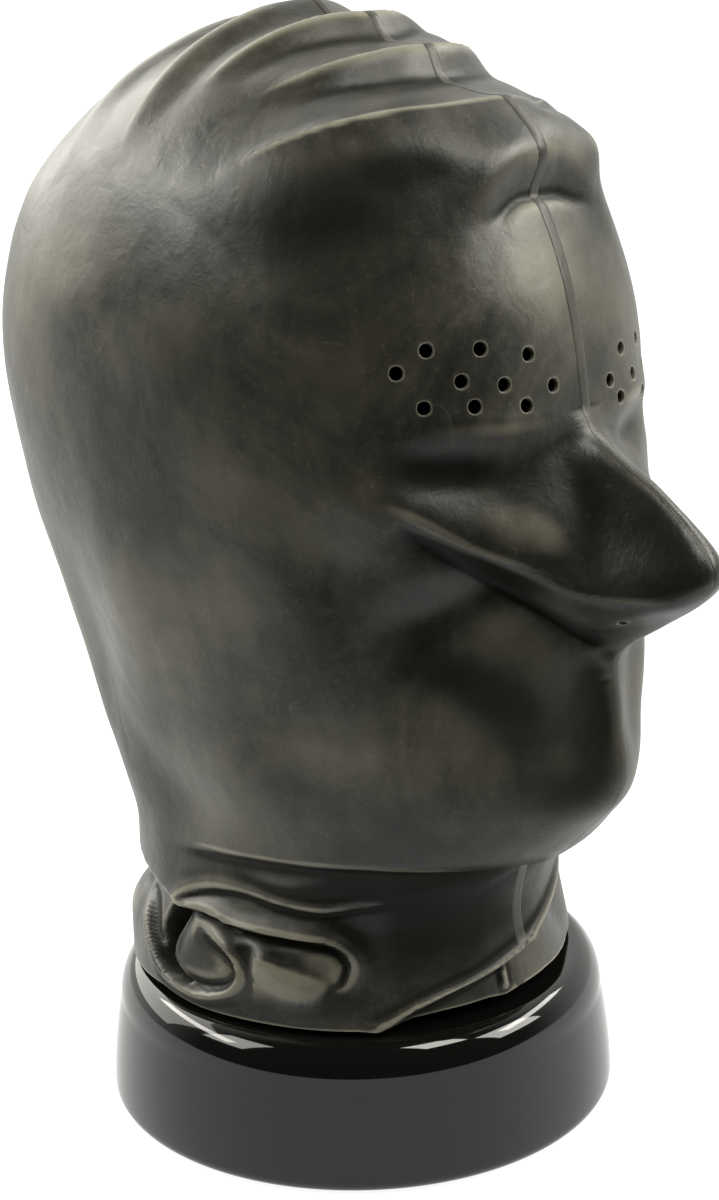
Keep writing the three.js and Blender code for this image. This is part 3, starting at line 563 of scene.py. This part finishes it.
def skin(azimuth, up):
    """The hood's outer skin, in millimetres."""
    form = head_form(azimuth, up)
    normal = normal_of(head_form, azimuth, up)
    z = form[..., 2]
    depth = nose_depth(azimuth, form[..., 0], z) + crown_depth(form)
    for row in DENTS:
        for turned in sides_of(azimuth, row):
            depth = depth + dent_depth(turned, z, row)
    folds = np.zeros_like(z)
    low = z < FOLDS_END
    for row in LIPS:
        for turned in sides_of(azimuth, row):
            folds[low] += lip_depth(turned[low], z[low], row)
    for row in FOLDS:
        points, _, soft, _, _, reach, *_ = row
        close = feels(points, azimuth, z, min(3 * max(soft, reach), FELT_AT_MOST))
        if close.any():
            folds[close] += fold_depth(azimuth[close], z[close], row)
    for row in POCKETS:
        close = feels(row[0], azimuth, z, POCKET_MARGIN)
        if close.any():
            folds[close] += pocket_depth(azimuth[close], z[close], row)
    depth = depth + folds
    out = form + depth[..., None] * normal
    out[..., 2] += hem_wave(azimuth) * ramp(HEM_WAVE_END, SECTIONS[0, 0], z)
    return out


def uneven_skin(azimuth, up):
    """Points and smooth normals of the skin; the unevenness fades at the hem."""
    p = skin(azimuth, up)
    n = normal_of(skin, azimuth, up, 0.004, 0.002)
    return p + (ripple(p) * ramp(HEM_LOW, HEM_LOW + 6, p[..., 2]))[..., None] * n, n


def up_of(height):
    """The share of the way up where the head form has this height."""
    up = np.linspace(0, 1, 4001)
    z = read_table(STATIONS, SECTIONS, up)[:, 0]
    return np.interp(height, z, up)


def bands(ends, steps):
    """Stations between ends, each band at its own step."""
    out = [ends[0]]
    for low, high, step in zip(ends[:-1], ends[1:], steps):
        count = max(1, round((high - low) / step))
        out.extend(low + (high - low) * (np.arange(count) + 1) / count)
    return np.array(out)


# The grid of each panel: degrees from the midline, heights, and shares of the way up
COLUMNS = bands([0, 60, 180], [0.63, 0.86])
HEIGHTS = bands([SECTIONS[0, 0], 110, 150, CROWN_FOOT], [0.95, 1.3, 0.93])
CROWN_ROWS = bands([float(up_of(CROWN_FOOT)), 0.9955], [0.0036])
ROWS = np.r_[up_of(HEIGHTS), CROWN_ROWS[1:]]


def keep_for_inner(values, zones, every=3):
    """Indices of the coarse inner skin: all within the zones, one in every few elsewhere."""
    keep = []
    last = -every
    for i, v in enumerate(values):
        inside = any(low <= v <= high for low, high in zones)
        if inside or i - last >= every or i in (0, len(values) - 1):
            keep.append(i)
            last = i
    return keep


def bend_of(points, normals, shape):
    """How sharply the sheet bends at each grid point: 1 on a sharp crest, -1 in a sharp crease."""
    rows, columns = shape
    g = points.reshape(rows, columns, 3)
    n = normals.reshape(rows, columns, 3)
    crest = np.full(shape, -9.0)
    crease = np.full(shape, 9.0)
    wide = np.pad(g, ((1, 1), (1, 1), (0, 0)), mode="reflect", reflect_type="odd")
    for a, b in ((1, 0), (0, 1), (1, 1), (1, -1)):
        fore = wide[1 + a:rows + 1 + a, 1 + b:columns + 1 + b] - g
        back = wide[1 - a:rows + 1 - a, 1 - b:columns + 1 - b] - g
        step = ((fore ** 2).sum(-1) + (back ** 2).sum(-1)) / 2
        bend = -((fore + back) * n).sum(-1) / np.maximum(step, 0.05)
        crest = np.maximum(crest, bend)
        crease = np.minimum(crease, bend)
    out = np.clip(crest / SHARP_BEND, 0, 1) - np.clip(-crease / SHARP_BEND, 0, 1)
    wide = np.pad(out, 1, mode="edge")
    return (2 * out + (wide[:-2, 1:-1] + wide[2:, 1:-1] + wide[1:-1, :-2] + wide[1:-1, 2:]) / 2) / 4


def wear_and_painted_light_of(points, normals, azimuth):
    """Wear and painted light at each grid point: above 0 lighter, from wear on the hem, painted highlight
    on crests and pools of painted light; below 0 painted shade, darker, in creases and recesses.
    """
    # painted highlight on crests and painted shade in creases
    wear_and_painted_light = bend_of(points, normals, azimuth.shape)
    wear_and_painted_light[0] = RUBBED_AND_RIM_HIGHLIGHT
    height = points[:, 2].reshape(azimuth.shape)
    # painted shade in recesses and shaded places
    for row in PAINTED_SHADE_SPOTS:
        wear_and_painted_light -= dent_depth(azimuth, height, row)
    # pools of painted light
    for row in PAINTED_LIGHT_SPOTS:
        wear_and_painted_light += dent_depth(azimuth, height, row)
    return wear_and_painted_light.ravel()


def inner_skin(side, azimuth, up, outer):
    """The inner skin. It follows the lowest of the folds near by, so that it stays inside the wall."""
    columns = azimuth.shape[1]
    form = head_form(azimuth.ravel(), up.ravel())
    outward = normal_of(head_form, azimuth.ravel(), up.ravel())
    low = ((outer - form) * outward).sum(-1).reshape(azimuth.shape)
    for _ in range(3):
        wide = np.pad(low, 1, mode="edge")
        low = np.minimum.reduce([wide[1:-1, 1:-1], wide[:-2, 1:-1], wide[2:, 1:-1],
                                 wide[1:-1, :-2], wide[1:-1, 2:]])
    inner = form + (low.ravel() - WALL)[:, None] * outward
    inner[:columns, 2] = outer[:columns, 2]
    rise = hem_wave(azimuth.ravel()) * ramp(HEM_WAVE_END, SECTIONS[0, 0], form[:, 2])
    inner[columns:, 2] += rise[columns:]
    inner[:, 0] = side * np.maximum(side * inner[:, 0], SEAM_GAP / 2)
    return inner


def hole_blocks(side):
    """Each hole of one side: grid column and row, half its block of cells, place and radius."""
    blocks = []
    for holes, diameter, half in ((EYE_HOLES, EYE_HOLE, EYE_BLOCK),
                                  (NOSTRIL_HOLES, NOSTRIL_HOLE, NOSTRIL_BLOCK)):
        for azimuth, height in holes:
            if np.sign(azimuth) != side:
                continue
            column = int(np.argmin(np.abs(COLUMNS - abs(azimuth))))
            row = int(np.argmin(np.abs(HEIGHTS - height)))
            place = np.array([math.radians(azimuth), float(up_of(height))])
            blocks.append((column, row, half, place, diameter / 2))
    return blocks


def grid_per_mm(place):
    """The matrix from millimetres on the skin, round one place, to azimuth and share of the way up."""
    e = 0.0005
    azimuth, up = place
    q = skin(np.array([azimuth + e, azimuth - e, azimuth, azimuth]), np.array([up, up, up + e, up - e]))
    around = (q[0] - q[1]) / (2 * e)
    upward = (q[2] - q[3]) / (2 * e)
    t1 = around / np.linalg.norm(around)
    t2 = upward - (upward @ t1) * t1
    t2 /= np.linalg.norm(t2)
    return np.linalg.inv(np.array([[around @ t1, upward @ t1], [around @ t2, upward @ t2]]))


class Sheet:
    """One panel's points in millimetres with their wear and painted light, and the faces between them."""

    def __init__(self, side):
        self.side = side
        self.points = []
        self.wear_and_painted_light = []
        self.faces = []

    def add_points(self, points, wear_and_painted_light):
        first = len(self.points)
        self.points.extend(points)
        self.wear_and_painted_light.extend(np.broadcast_to(wear_and_painted_light, len(points)))
        return np.arange(first, len(self.points))

    def add_face(self, corners, turned):
        """A face, with its corners in turn as on the wearer's left side."""
        corners = [int(k) for k in corners]
        self.faces.append(corners[::-1] if turned != (self.side < 0) else corners)

    def add_grid(self, grid, left_out, turned):
        for r, c in np.argwhere(~left_out):
            self.add_face((grid[r, c], grid[r, c + 1], grid[r + 1, c + 1], grid[r + 1, c]), turned)

    def add_band(self, before, now):
        """Faces between two closed rings."""
        for a, b, c, d in zip(before, np.roll(before, -1), np.roll(now, -1), now):
            self.add_face((a, b, c, d), False)

    def add_cap(self, ring, tip, turned):
        for a, b in zip(ring[:-1], ring[1:]):
            self.add_face((a, b, tip), turned)

    def add_edge(self, fine, coarse, keep, turned):
        """A strip of faces between the edge of the fine outer skin and that of the coarse inner one."""
        for a, (start, end) in enumerate(zip(keep[:-1], keep[1:])):
            self.add_face([*fine[start:end + 1], coarse[a + 1], coarse[a]], turned)


def add_hole(sheet, block, outer_grid, inner_at):
    """Rings from the block's edge to the hole, over a soft rim and through the wall."""
    column, row, half, place, radius = block
    span = range(-half, half)
    loop = [(row - half, column + d) for d in span] + [(row + d, column + half) for d in span]
    loop += [(row + half, column - d) for d in span] + [(row - d, column - half) for d in span]
    grid = grid_per_mm(place)
    azimuths = sheet.side * np.radians(COLUMNS)
    edge = np.array([(azimuths[c], ROWS[r]) for r, c in loop])
    local = (edge - place) @ np.linalg.inv(grid).T
    turn = np.arctan2(local[:, 1], local[:, 0])
    unit = np.stack([np.cos(turn), np.sin(turn)], 1)
    rings = [(local * share + unit * (radius + RIM_WIDTH) * (1 - share), 0.0) for share in (0.55, 0.18)]
    rings += [(unit * (radius + RIM_WIDTH), 0.06), (unit * (radius + 0.08), 0.0), (unit * radius, -0.22)]
    before = [outer_grid[at] for at in loop]
    for ring, lift in rings:
        where = place + ring @ grid.T
        points, normals = uneven_skin(where[:, 0], where[:, 1])
        # painted highlight on the rim and, fainter, beside it
        now = sheet.add_points(points + lift * normals, RUBBED_AND_RIM_HIGHLIGHT if lift else NEAR_RIM_HIGHLIGHT)
        sheet.add_band(before, now)
        before = now
    now = sheet.add_points(points - WALL * normals, 0)
    sheet.add_band(before, now)
    sheet.add_band(now, [inner_at[at] for at in loop])


def new_object(name, verts, faces):
    """An object in the scene, from points in metres."""
    mesh = bpy.data.meshes.new(name)
    mesh.from_pydata(verts, [], faces)
    ob = bpy.data.objects.new(name, mesh)
    bpy.context.scene.collection.objects.link(ob)
    return ob


def hood_panel(side, name):
    """Half of the hood, with its holes: outer skin, inner skin, rims and edges."""
    az, up = np.meshgrid(side * np.radians(COLUMNS), ROWS)
    outer, normals = uneven_skin(az.ravel(), up.ravel())
    wear_and_painted_light = wear_and_painted_light_of(outer, normals, az)
    inner = inner_skin(side, az, up, outer)
    outer[:, 0] = side * np.maximum(side * outer[:, 0], SEAM_GAP / 2)

    sheet = Sheet(side)
    index = sheet.add_points(outer, wear_and_painted_light).reshape(az.shape)
    blocks = hole_blocks(side)
    out = np.zeros((len(ROWS) - 1, len(COLUMNS) - 1), bool)
    for column, row, half, *_ in blocks:
        out[row - half:row + half, column - half:column + half] = True
    sheet.add_grid(index, out, False)

    # the inner skin, on a coarser grid away from the holes
    keep_c = keep_for_inner(COLUMNS, [(0, 62)])
    crown_count = len(ROWS) - len(HEIGHTS)
    rough_heights = np.r_[HEIGHTS, CROWN_FOOT + 10 * np.arange(1, crown_count + 1)]
    keep_r = keep_for_inner(rough_heights, [(160, 176), (216, 252)])
    kept = np.ix_(keep_r, keep_c)
    inner_index = sheet.add_points(inner[index[kept].ravel()], 0).reshape(len(keep_r), len(keep_c))
    sheet.add_grid(inner_index, out[np.ix_(keep_r[:-1], keep_c[:-1])], True)
    inner_at = {(r, c): inner_index[a, b] for a, r in enumerate(keep_r) for b, c in enumerate(keep_c)}

    for block in blocks:
        add_hole(sheet, block, index, inner_at)

    # the crown's point, then the hem's edge and the two edges at the midline
    top = float(skin(np.array([0.0]), np.array([1.0]))[0, 2])
    tip, inner_tip = sheet.add_points([(side * SEAM_GAP / 2, CROWN_TIP, z) for z in (top, top - WALL)], 0)
    sheet.add_cap(index[-1], tip, False)
    sheet.add_cap(inner_index[-1], inner_tip, True)
    sheet.add_edge(index[0], inner_index[0], keep_c, True)
    for c, turned in ((0, False), (-1, True)):
        sheet.add_edge(np.r_[index[:, c], tip], np.r_[inner_index[:, c], inner_tip],
                       keep_r + [len(ROWS)], turned)

    ob = new_object(name, [(x * MM, y * MM, z * MM) for x, y, z in sheet.points], sheet.faces)
    ob.data.validate()
    ob.data.update()
    ob.data.attributes.new("wear_and_painted_light", "FLOAT", "POINT").data.foreach_set("value", sheet.wear_and_painted_light)
    ob.data.shade_smooth()
    return ob


def sharpen(ob, degrees_limit):
    """Hard shading across edges that turn by more than this."""
    bm = bmesh.new()
    bm.from_mesh(ob.data)
    limit = math.radians(degrees_limit)
    for e in bm.edges:
        if len(e.link_faces) == 2 and e.calc_face_angle(0) > limit:
            e.smooth = False
    bm.to_mesh(ob.data)
    bm.free()


right = hood_panel(-1, "latex_right")
left = hood_panel(1, "latex_left")
for ob in (right, left):
    sharpen(ob, PANEL_EDGE_ANGLE)


def midline():
    """Points and outward directions from the front hem over the crown to the back hem."""
    ups = np.r_[np.linspace(0, 0.98, 300), np.linspace(0.983, 1, 8)]
    front, front_out = uneven_skin(np.zeros_like(ups), ups)
    back, back_out = uneven_skin(np.full_like(ups, math.pi), ups)
    path = np.r_[front, back[:-1][::-1]]
    outward = np.r_[front_out, back_out[:-1][::-1]]
    path[:, 0] = 0
    tangent = np.gradient(path, axis=0)
    tangent /= np.linalg.norm(tangent, axis=1, keepdims=True)
    normal = np.cross(tangent, [1.0, 0, 0])
    normal *= np.sign((normal * outward).sum(1))[:, None]
    kernel = np.array([1, 4, 6, 4, 1]) / 16
    for _ in range(3):
        padded = np.pad(normal, ((2, 2), (0, 0)), mode="edge")
        normal = sum(w * padded[k:k + len(normal)] for k, w in enumerate(kernel))
    normal /= np.linalg.norm(normal, axis=1, keepdims=True)
    return path, normal


def draped_strip(name, bodies):
    """The seam strip: a band that follows both panels, its middle raised and its edges feathered."""
    bm = bmesh.new()
    for ob in bodies:
        bm.from_mesh(ob.data)
    tree = BVHTree.FromBMesh(bm)
    path, normal = midline()
    across = np.array([-1, -0.94, -0.8, -0.55, -0.25, 0, 0.25, 0.55, 0.8, 0.94, 1])
    lift = SEAM_LIFT * (1 - np.abs(across) ** 5) ** 0.8
    verts = []
    for k, (p, n) in enumerate(zip(path, normal)):
        s = k * 0.9
        wander = 0.18 * noise.noise(Vector((s / 17, 3.1, 0)))
        thick = 1 + 0.18 * noise.noise(Vector((s / 9, 8.7, 0)))
        thick *= 0.38 + 0.5 * float(ramp(205, 250, p[2]))
        above_skin = Vector(n * SEAM_START * MM)
        hits = []
        for u in across:
            start = Vector(((u * SEAM_WIDTH / 2 + wander) * MM, p[1] * MM, p[2] * MM)) + above_skin
            hit, _, _, _ = tree.ray_cast(start, Vector(-n))
            if hit is None or (hit - start).length > 2 * SEAM_START * MM:
                hit = start - above_skin
            hits.append(hit)
        for hit, h in zip(hits, lift):
            verts.append(tuple(hit + Vector(n * (h * thick - SEAM_SINK) * MM)))
        for hit in (hits[0], hits[5], hits[10]):
            verts.append(tuple(hit - Vector(n * SEAM_UNDER * MM)))
    bm.free()
    width = len(across) + 3
    ring = list(range(len(across))) + [width - 1, width - 2, width - 3]
    faces = []
    for k in range(len(path) - 1):
        for a, b in zip(ring, ring[1:] + ring[:1]):
            faces.append((k * width + a, k * width + b, (k + 1) * width + b, (k + 1) * width + a))
    faces.append(tuple(ring[::-1]))
    faces.append(tuple((len(path) - 1) * width + r for r in ring))
    ob = new_object(name, verts, faces)
    ob.data.validate()
    fix = bmesh.new()
    fix.from_mesh(ob.data)
    bmesh.ops.recalc_face_normals(fix, faces=fix.faces)
    fix.to_mesh(ob.data)
    fix.free()
    ob.data.shade_smooth()
    return ob


strip = draped_strip("seam_band", (right, left))
sharpen(strip, STRIP_EDGE_ANGLE)


def base_profile():
    """Radius and height of the base, from near the middle of the underside over to the top's middle."""
    profile = [(r, 0.0) for r in np.linspace(BASE_MIDDLE, BASE_RADIUS - FOOT_ROUND - 1, 5)]
    for k in range(9):
        turn = math.pi / 2 * k / 8
        profile.append((BASE_RADIUS - FOOT_ROUND * (1 - math.sin(turn)),
                        FOOT_ROUND * (1 - math.cos(turn))))
    top_of_wall = BASE_HEIGHT - SHOULDER_DROP
    for k in range(1, 16):
        u = k / 16
        profile.append((BASE_RADIUS - WALL_DRAFT * u ** 1.6,
                        FOOT_ROUND + (top_of_wall - FOOT_ROUND) * u))
    wall_radius = BASE_RADIUS - WALL_DRAFT
    for k in range(25):
        turn = math.pi / 2 * k / 24
        profile.append((wall_radius - SHOULDER_WIDTH * (1 - math.cos(turn)),
                        top_of_wall + SHOULDER_DROP * math.sin(turn)))
    for r in np.linspace(wall_radius - SHOULDER_WIDTH - 2, BASE_MIDDLE, 12):
        profile.append((r, BASE_HEIGHT))
    return profile


def display_base(name, segments=256):
    profile = base_profile()
    verts = []
    for r, z in profile:
        for s in range(segments):
            a = 2 * math.pi * s / segments
            verts.append((r * math.cos(a) * MM, r * math.sin(a) * MM, z * MM))
    faces = []
    for k in range(len(profile) - 1):
        for s in range(segments):
            t = (s + 1) % segments
            faces.append((k * segments + s, k * segments + t, (k + 1) * segments + t,
                          (k + 1) * segments + s))
    for ring, z, flip in ((0, 0.0, True), (len(profile) - 1, BASE_HEIGHT, False)):
        middle = len(verts)
        verts.append((0, 0, z * MM))
        for s in range(segments):
            tri = (ring * segments + s, ring * segments + (s + 1) % segments, middle)
            faces.append(tri[::-1] if flip else tri)
    ob = new_object(name, verts, faces)
    ob.data.shade_smooth()
    return ob


base = display_base("gloss_base")


# Materials
def new_material(name):
    material = bpy.data.materials.new(name)
    material.use_nodes = True
    tree = material.node_tree
    shader = tree.nodes["Principled BSDF"]
    return material, tree, shader


def feed(tree, value, socket):
    """Set a socket to a constant, or link another node's output to it."""
    if isinstance(value, (int, float, tuple)):
        socket.default_value = value
    else:
        tree.links.new(value, socket)


def mapped(tree, stretch=(1, 1, 1), turn=(0, 0, 0)):
    coords = tree.nodes.new("ShaderNodeTexCoord")
    mapping = tree.nodes.new("ShaderNodeMapping")
    mapping.inputs["Scale"].default_value = stretch
    mapping.inputs["Rotation"].default_value = turn
    tree.links.new(coords.outputs["Object"], mapping.inputs["Vector"])
    return mapping.outputs["Vector"]


def noise_tex(tree, vector, scale, detail=3.0, rough=0.5, distort=0.0):
    tex = tree.nodes.new("ShaderNodeTexNoise")
    tex.inputs["Scale"].default_value = scale
    tex.inputs["Detail"].default_value = detail
    tex.inputs["Roughness"].default_value = rough
    tex.inputs["Distortion"].default_value = distort
    tree.links.new(vector, tex.inputs["Vector"])
    return tex.outputs["Fac"]


def spread(tree, value, low, high, to_low, to_high):
    """Smoothly from to_low to to_high while the value goes from low to high."""
    m = tree.nodes.new("ShaderNodeMapRange")
    m.interpolation_type = "SMOOTHSTEP"
    m.inputs["From Min"].default_value = low
    m.inputs["From Max"].default_value = high
    m.inputs["To Min"].default_value = to_low
    m.inputs["To Max"].default_value = to_high
    tree.links.new(value, m.inputs["Value"])
    return m.outputs["Result"]


def math_node(tree, operation, a, b):
    m = tree.nodes.new("ShaderNodeMath")
    m.operation = operation
    feed(tree, a, m.inputs[0])
    feed(tree, b, m.inputs[1])
    return m.outputs[0]


def mix_colour(tree, share, a, b):
    m = tree.nodes.new("ShaderNodeMix")
    m.data_type = "RGBA"
    feed(tree, share, m.inputs[MIX_SHARE])
    feed(tree, a, m.inputs[MIX_A])
    feed(tree, b, m.inputs[MIX_B])
    return m.outputs[MIX_RESULT]


def scratches(tree, plain, size, stretch, turn):
    """Thin broken lines, where a noise crosses one value."""
    lines = noise_tex(tree, mapped(tree, stretch, turn), size, 1.5, 0.5, 1.4)
    off = math_node(tree, "ABSOLUTE", math_node(tree, "SUBTRACT", lines, 0.52), 0)
    thin = spread(tree, off, 0.0, SCRATCH_WIDTH, SCRATCH_SHARE, 0)
    broken = spread(tree, noise_tex(tree, plain, 60, 2, 0.5), 0.52, 0.6, 0, 1)
    return math_node(tree, "MULTIPLY", thin, broken)


def bumpy(tree, height, strength, distance, under=None):
    """A normal bent by a height, on top of another bent normal if one is given."""
    bump = tree.nodes.new("ShaderNodeBump")
    bump.inputs["Strength"].default_value = strength
    bump.inputs["Distance"].default_value = distance
    tree.links.new(height, bump.inputs["Height"])
    if under:
        tree.links.new(under, bump.inputs["Normal"])
    return bump.outputs["Normal"]


def latex_material(name, dark, dusty, worn_and_highlight, least_dust):
    """Black rubber with clouds, streaks, specks and scratches of dust; painted highlight on crests and
    rims, pools of painted light and hem wear in the rubbed colour; painted shade, darker and less glossy,
    in creases and recesses.
    """
    material, tree, shader = new_material(name)
    plain = mapped(tree)
    clouds = noise_tex(tree, plain, CLOUD_SCALE, 6, 0.6, 0.5)
    streaks = noise_tex(tree, mapped(tree, STREAK_STRETCH, (0.5, 0.3, 0.6)), 1.0, 5, 0.65, 1.2)
    specks = noise_tex(tree, plain, SPECK_SCALE, 3, 0.7)
    dust = spread(tree, clouds, 0.36, 0.72, 0.15, 0.95)
    dust = math_node(tree, "MULTIPLY", dust, spread(tree, streaks, 0.3, 0.7, 0.72, 1))
    dust = math_node(tree, "ADD", dust, spread(tree, specks, 0.55, 0.75, -0.06, 0.2))
    for size, stretch, turn in SCRATCHES:
        dust = math_node(tree, "ADD", dust, scratches(tree, plain, size, stretch, turn))
    share = spread(tree, dust, 0, 1, least_dust, 1)
    attribute = tree.nodes.new("ShaderNodeAttribute")
    attribute.attribute_name = "wear_and_painted_light"
    wear_and_painted_light = attribute.outputs["Fac"]
    # painted shade: less dust, so darker, in creases and shaded recesses
    share = math_node(tree, "MULTIPLY", share, spread(tree, wear_and_painted_light, -0.85, -0.02, 0.08, 1))
    # painted highlight on crests and rims, pools of painted light, and hem wear, in the rubbed colour
    rubbed_and_painted_light = math_node(tree, "MULTIPLY", spread(tree, wear_and_painted_light, 0.10, 0.75, 0, 0.75),
                       spread(tree, clouds, 0.3, 0.6, 0.45, 1))
    colour = mix_colour(tree, rubbed_and_painted_light, mix_colour(tree, share, dark, dusty), worn_and_highlight)
    tree.links.new(colour, shader.inputs["Base Color"])
    rough = math_node(tree, "ADD", spread(tree, clouds, 0.35, 0.65, 0.34, 0.43),
                      spread(tree, streaks, 0.3, 0.7, -0.03, 0.04))
    tree.links.new(rough, shader.inputs["Roughness"])
    # painted shade: creases and shaded recesses mirror less of the studio
    tree.links.new(spread(tree, wear_and_painted_light, -0.85, -0.1, 0.07, 0.34), shader.inputs["Specular IOR Level"])
    grain = bumpy(tree, noise_tex(tree, plain, GRAIN_SCALE, 3, 0.6), 0.35, GRAIN_DEPTH)
    waves = bumpy(tree, noise_tex(tree, plain, WAVE_SCALE, 4, 0.55, 0.3), 0.5, WAVE_DEPTH, grain)
    tree.links.new(waves, shader.inputs["Normal"])
    return material


def gloss_material(name):
    material, tree, shader = new_material(name)
    shader.inputs["Base Color"].default_value = GLOSS_BLACK
    smear = noise_tex(tree, mapped(tree), 22, 4, 0.6, 0.8)
    tree.links.new(spread(tree, smear, 0.4, 0.7, 0.035, 0.075), shader.inputs["Roughness"])
    shader.inputs["Specular IOR Level"].default_value = 0.42
    return material


def floor_material(name):
    material, _, shader = new_material(name)
    shader.inputs["Base Color"].default_value = FLOOR_GREY
    shader.inputs["Roughness"].default_value = 0.6
    shader.inputs["Emission Color"].default_value = (1, 1, 1, 1)
    shader.inputs["Emission Strength"].default_value = FLOOR_GLOW
    return material


latex = latex_material("latex_sheet_look", LATEX_BLACK, LATEX_DUSTY, LATEX_WORN_AND_HIGHLIGHT, 0)
tape = latex_material("seam_look", TAPE_BLACK, TAPE_DUSTY, TAPE_WORN, 0.2)
gloss = gloss_material("base_gloss_look")

for ob, material, replaced, slot in ((right, latex, "hood_panel_right", "latex_sheet"),
                                     (left, latex, "hood_panel_left", "latex_sheet"),
                                     (strip, tape, "hood_seam_strip", "seam_strip"),
                                     (base, gloss, "display_base", "base_gloss")):
    ob.data.materials.append(material)
    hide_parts(replaced)
    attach(ob, "root")

# The floor. Its near edge crosses in front of the camera, out of view.
near = Vector((-math.sin(CAMERA_TURN), -math.cos(CAMERA_TURN), 0))
across = Vector((near.y, -near.x, 0))
corners = ((FLOOR_NEAR, -FLOOR_REACH), (FLOOR_NEAR, FLOOR_REACH),
           (-FLOOR_REACH, FLOOR_REACH), (-FLOOR_REACH, -FLOOR_REACH))
floor = new_object("floor", [tuple(near * u + across * v) for u, v in corners], [(3, 2, 1, 0)])
floor.data.materials.append(floor_material("floor_white"))


# Lights
def direction(azimuth, elevation):
    a = math.radians(azimuth)
    e = math.radians(elevation)
    return Vector((math.sin(a) * math.cos(e), -math.cos(a) * math.cos(e), math.sin(e)))


for name, azimuth, elevation, distance, size, power in LIGHTS:
    data = bpy.data.lights.new(name, "AREA")
    data.shape = "RECTANGLE"
    data.size, data.size_y = size
    data.energy = power
    data.color = LIGHT_TINT
    way = direction(azimuth, elevation)
    light = bpy.data.objects.new(name, data)
    light.location = Vector(LIGHT_AIM) + distance * way
    light.rotation_euler = way.to_track_quat("Z", "Y").to_euler()
    bpy.context.scene.collection.objects.link(light)

# A pale backdrop behind the object, and a darker room to the sides and behind the camera
world = bpy.data.worlds.new("studio")
bpy.context.scene.world = world
world.use_nodes = True
tree = world.node_tree
background = tree.nodes["Background"]
coords = tree.nodes.new("ShaderNodeTexCoord")
toward = tree.nodes.new("ShaderNodeVectorMath")
toward.operation = "DOT_PRODUCT"
toward.inputs[1].default_value = direction(PALE_AZIMUTH, PALE_ELEVATION)
tree.links.new(coords.outputs["Generated"], toward.inputs[0])
shade = spread(tree, toward.outputs["Value"], -0.25, 0.60, ROOM_DARK, ROOM_PALE)
tree.links.new(shade, background.inputs["Strength"])
background.inputs["Color"].default_value = ROOM_TINT
bpy.context.scene.view_settings.view_transform = "Standard"

# The camera, at the photograph's angle
ahead_level = Vector((math.sin(CAMERA_TURN), math.cos(CAMERA_TURN), 0))
to_right = Vector((math.cos(CAMERA_TURN), -math.sin(CAMERA_TURN), 0))
upward = Vector((0, 0, 1))
ahead = ahead_level * math.cos(CAMERA_PITCH) - upward * math.sin(CAMERA_PITCH)
above = ahead_level * math.sin(CAMERA_PITCH) + upward * math.cos(CAMERA_PITCH)
axis_x = to_right * math.cos(CAMERA_ROLL) + above * math.sin(CAMERA_ROLL)
axis_y = above * math.cos(CAMERA_ROLL) - to_right * math.sin(CAMERA_ROLL)
camera_data = bpy.data.cameras.new("camera")
camera_data.sensor_fit = "VERTICAL"
camera_data.sensor_height = SENSOR
camera_data.lens = FOCAL_PIXELS * SENSOR / PHOTO_HEIGHT
camera_data.shift_x = SHIFT_PIXELS / PHOTO_HEIGHT
camera = bpy.data.objects.new("camera", camera_data)
matrix = Matrix((axis_x, axis_y, -ahead)).transposed().to_4x4()
matrix.translation = Vector((-CAMERA_AWAY * math.sin(CAMERA_TURN), -CAMERA_AWAY * math.cos(CAMERA_TURN),
                             CAMERA_HEIGHT))
camera.matrix_world = matrix
bpy.context.scene.collection.objects.link(camera)
bpy.context.scene.camera = camera
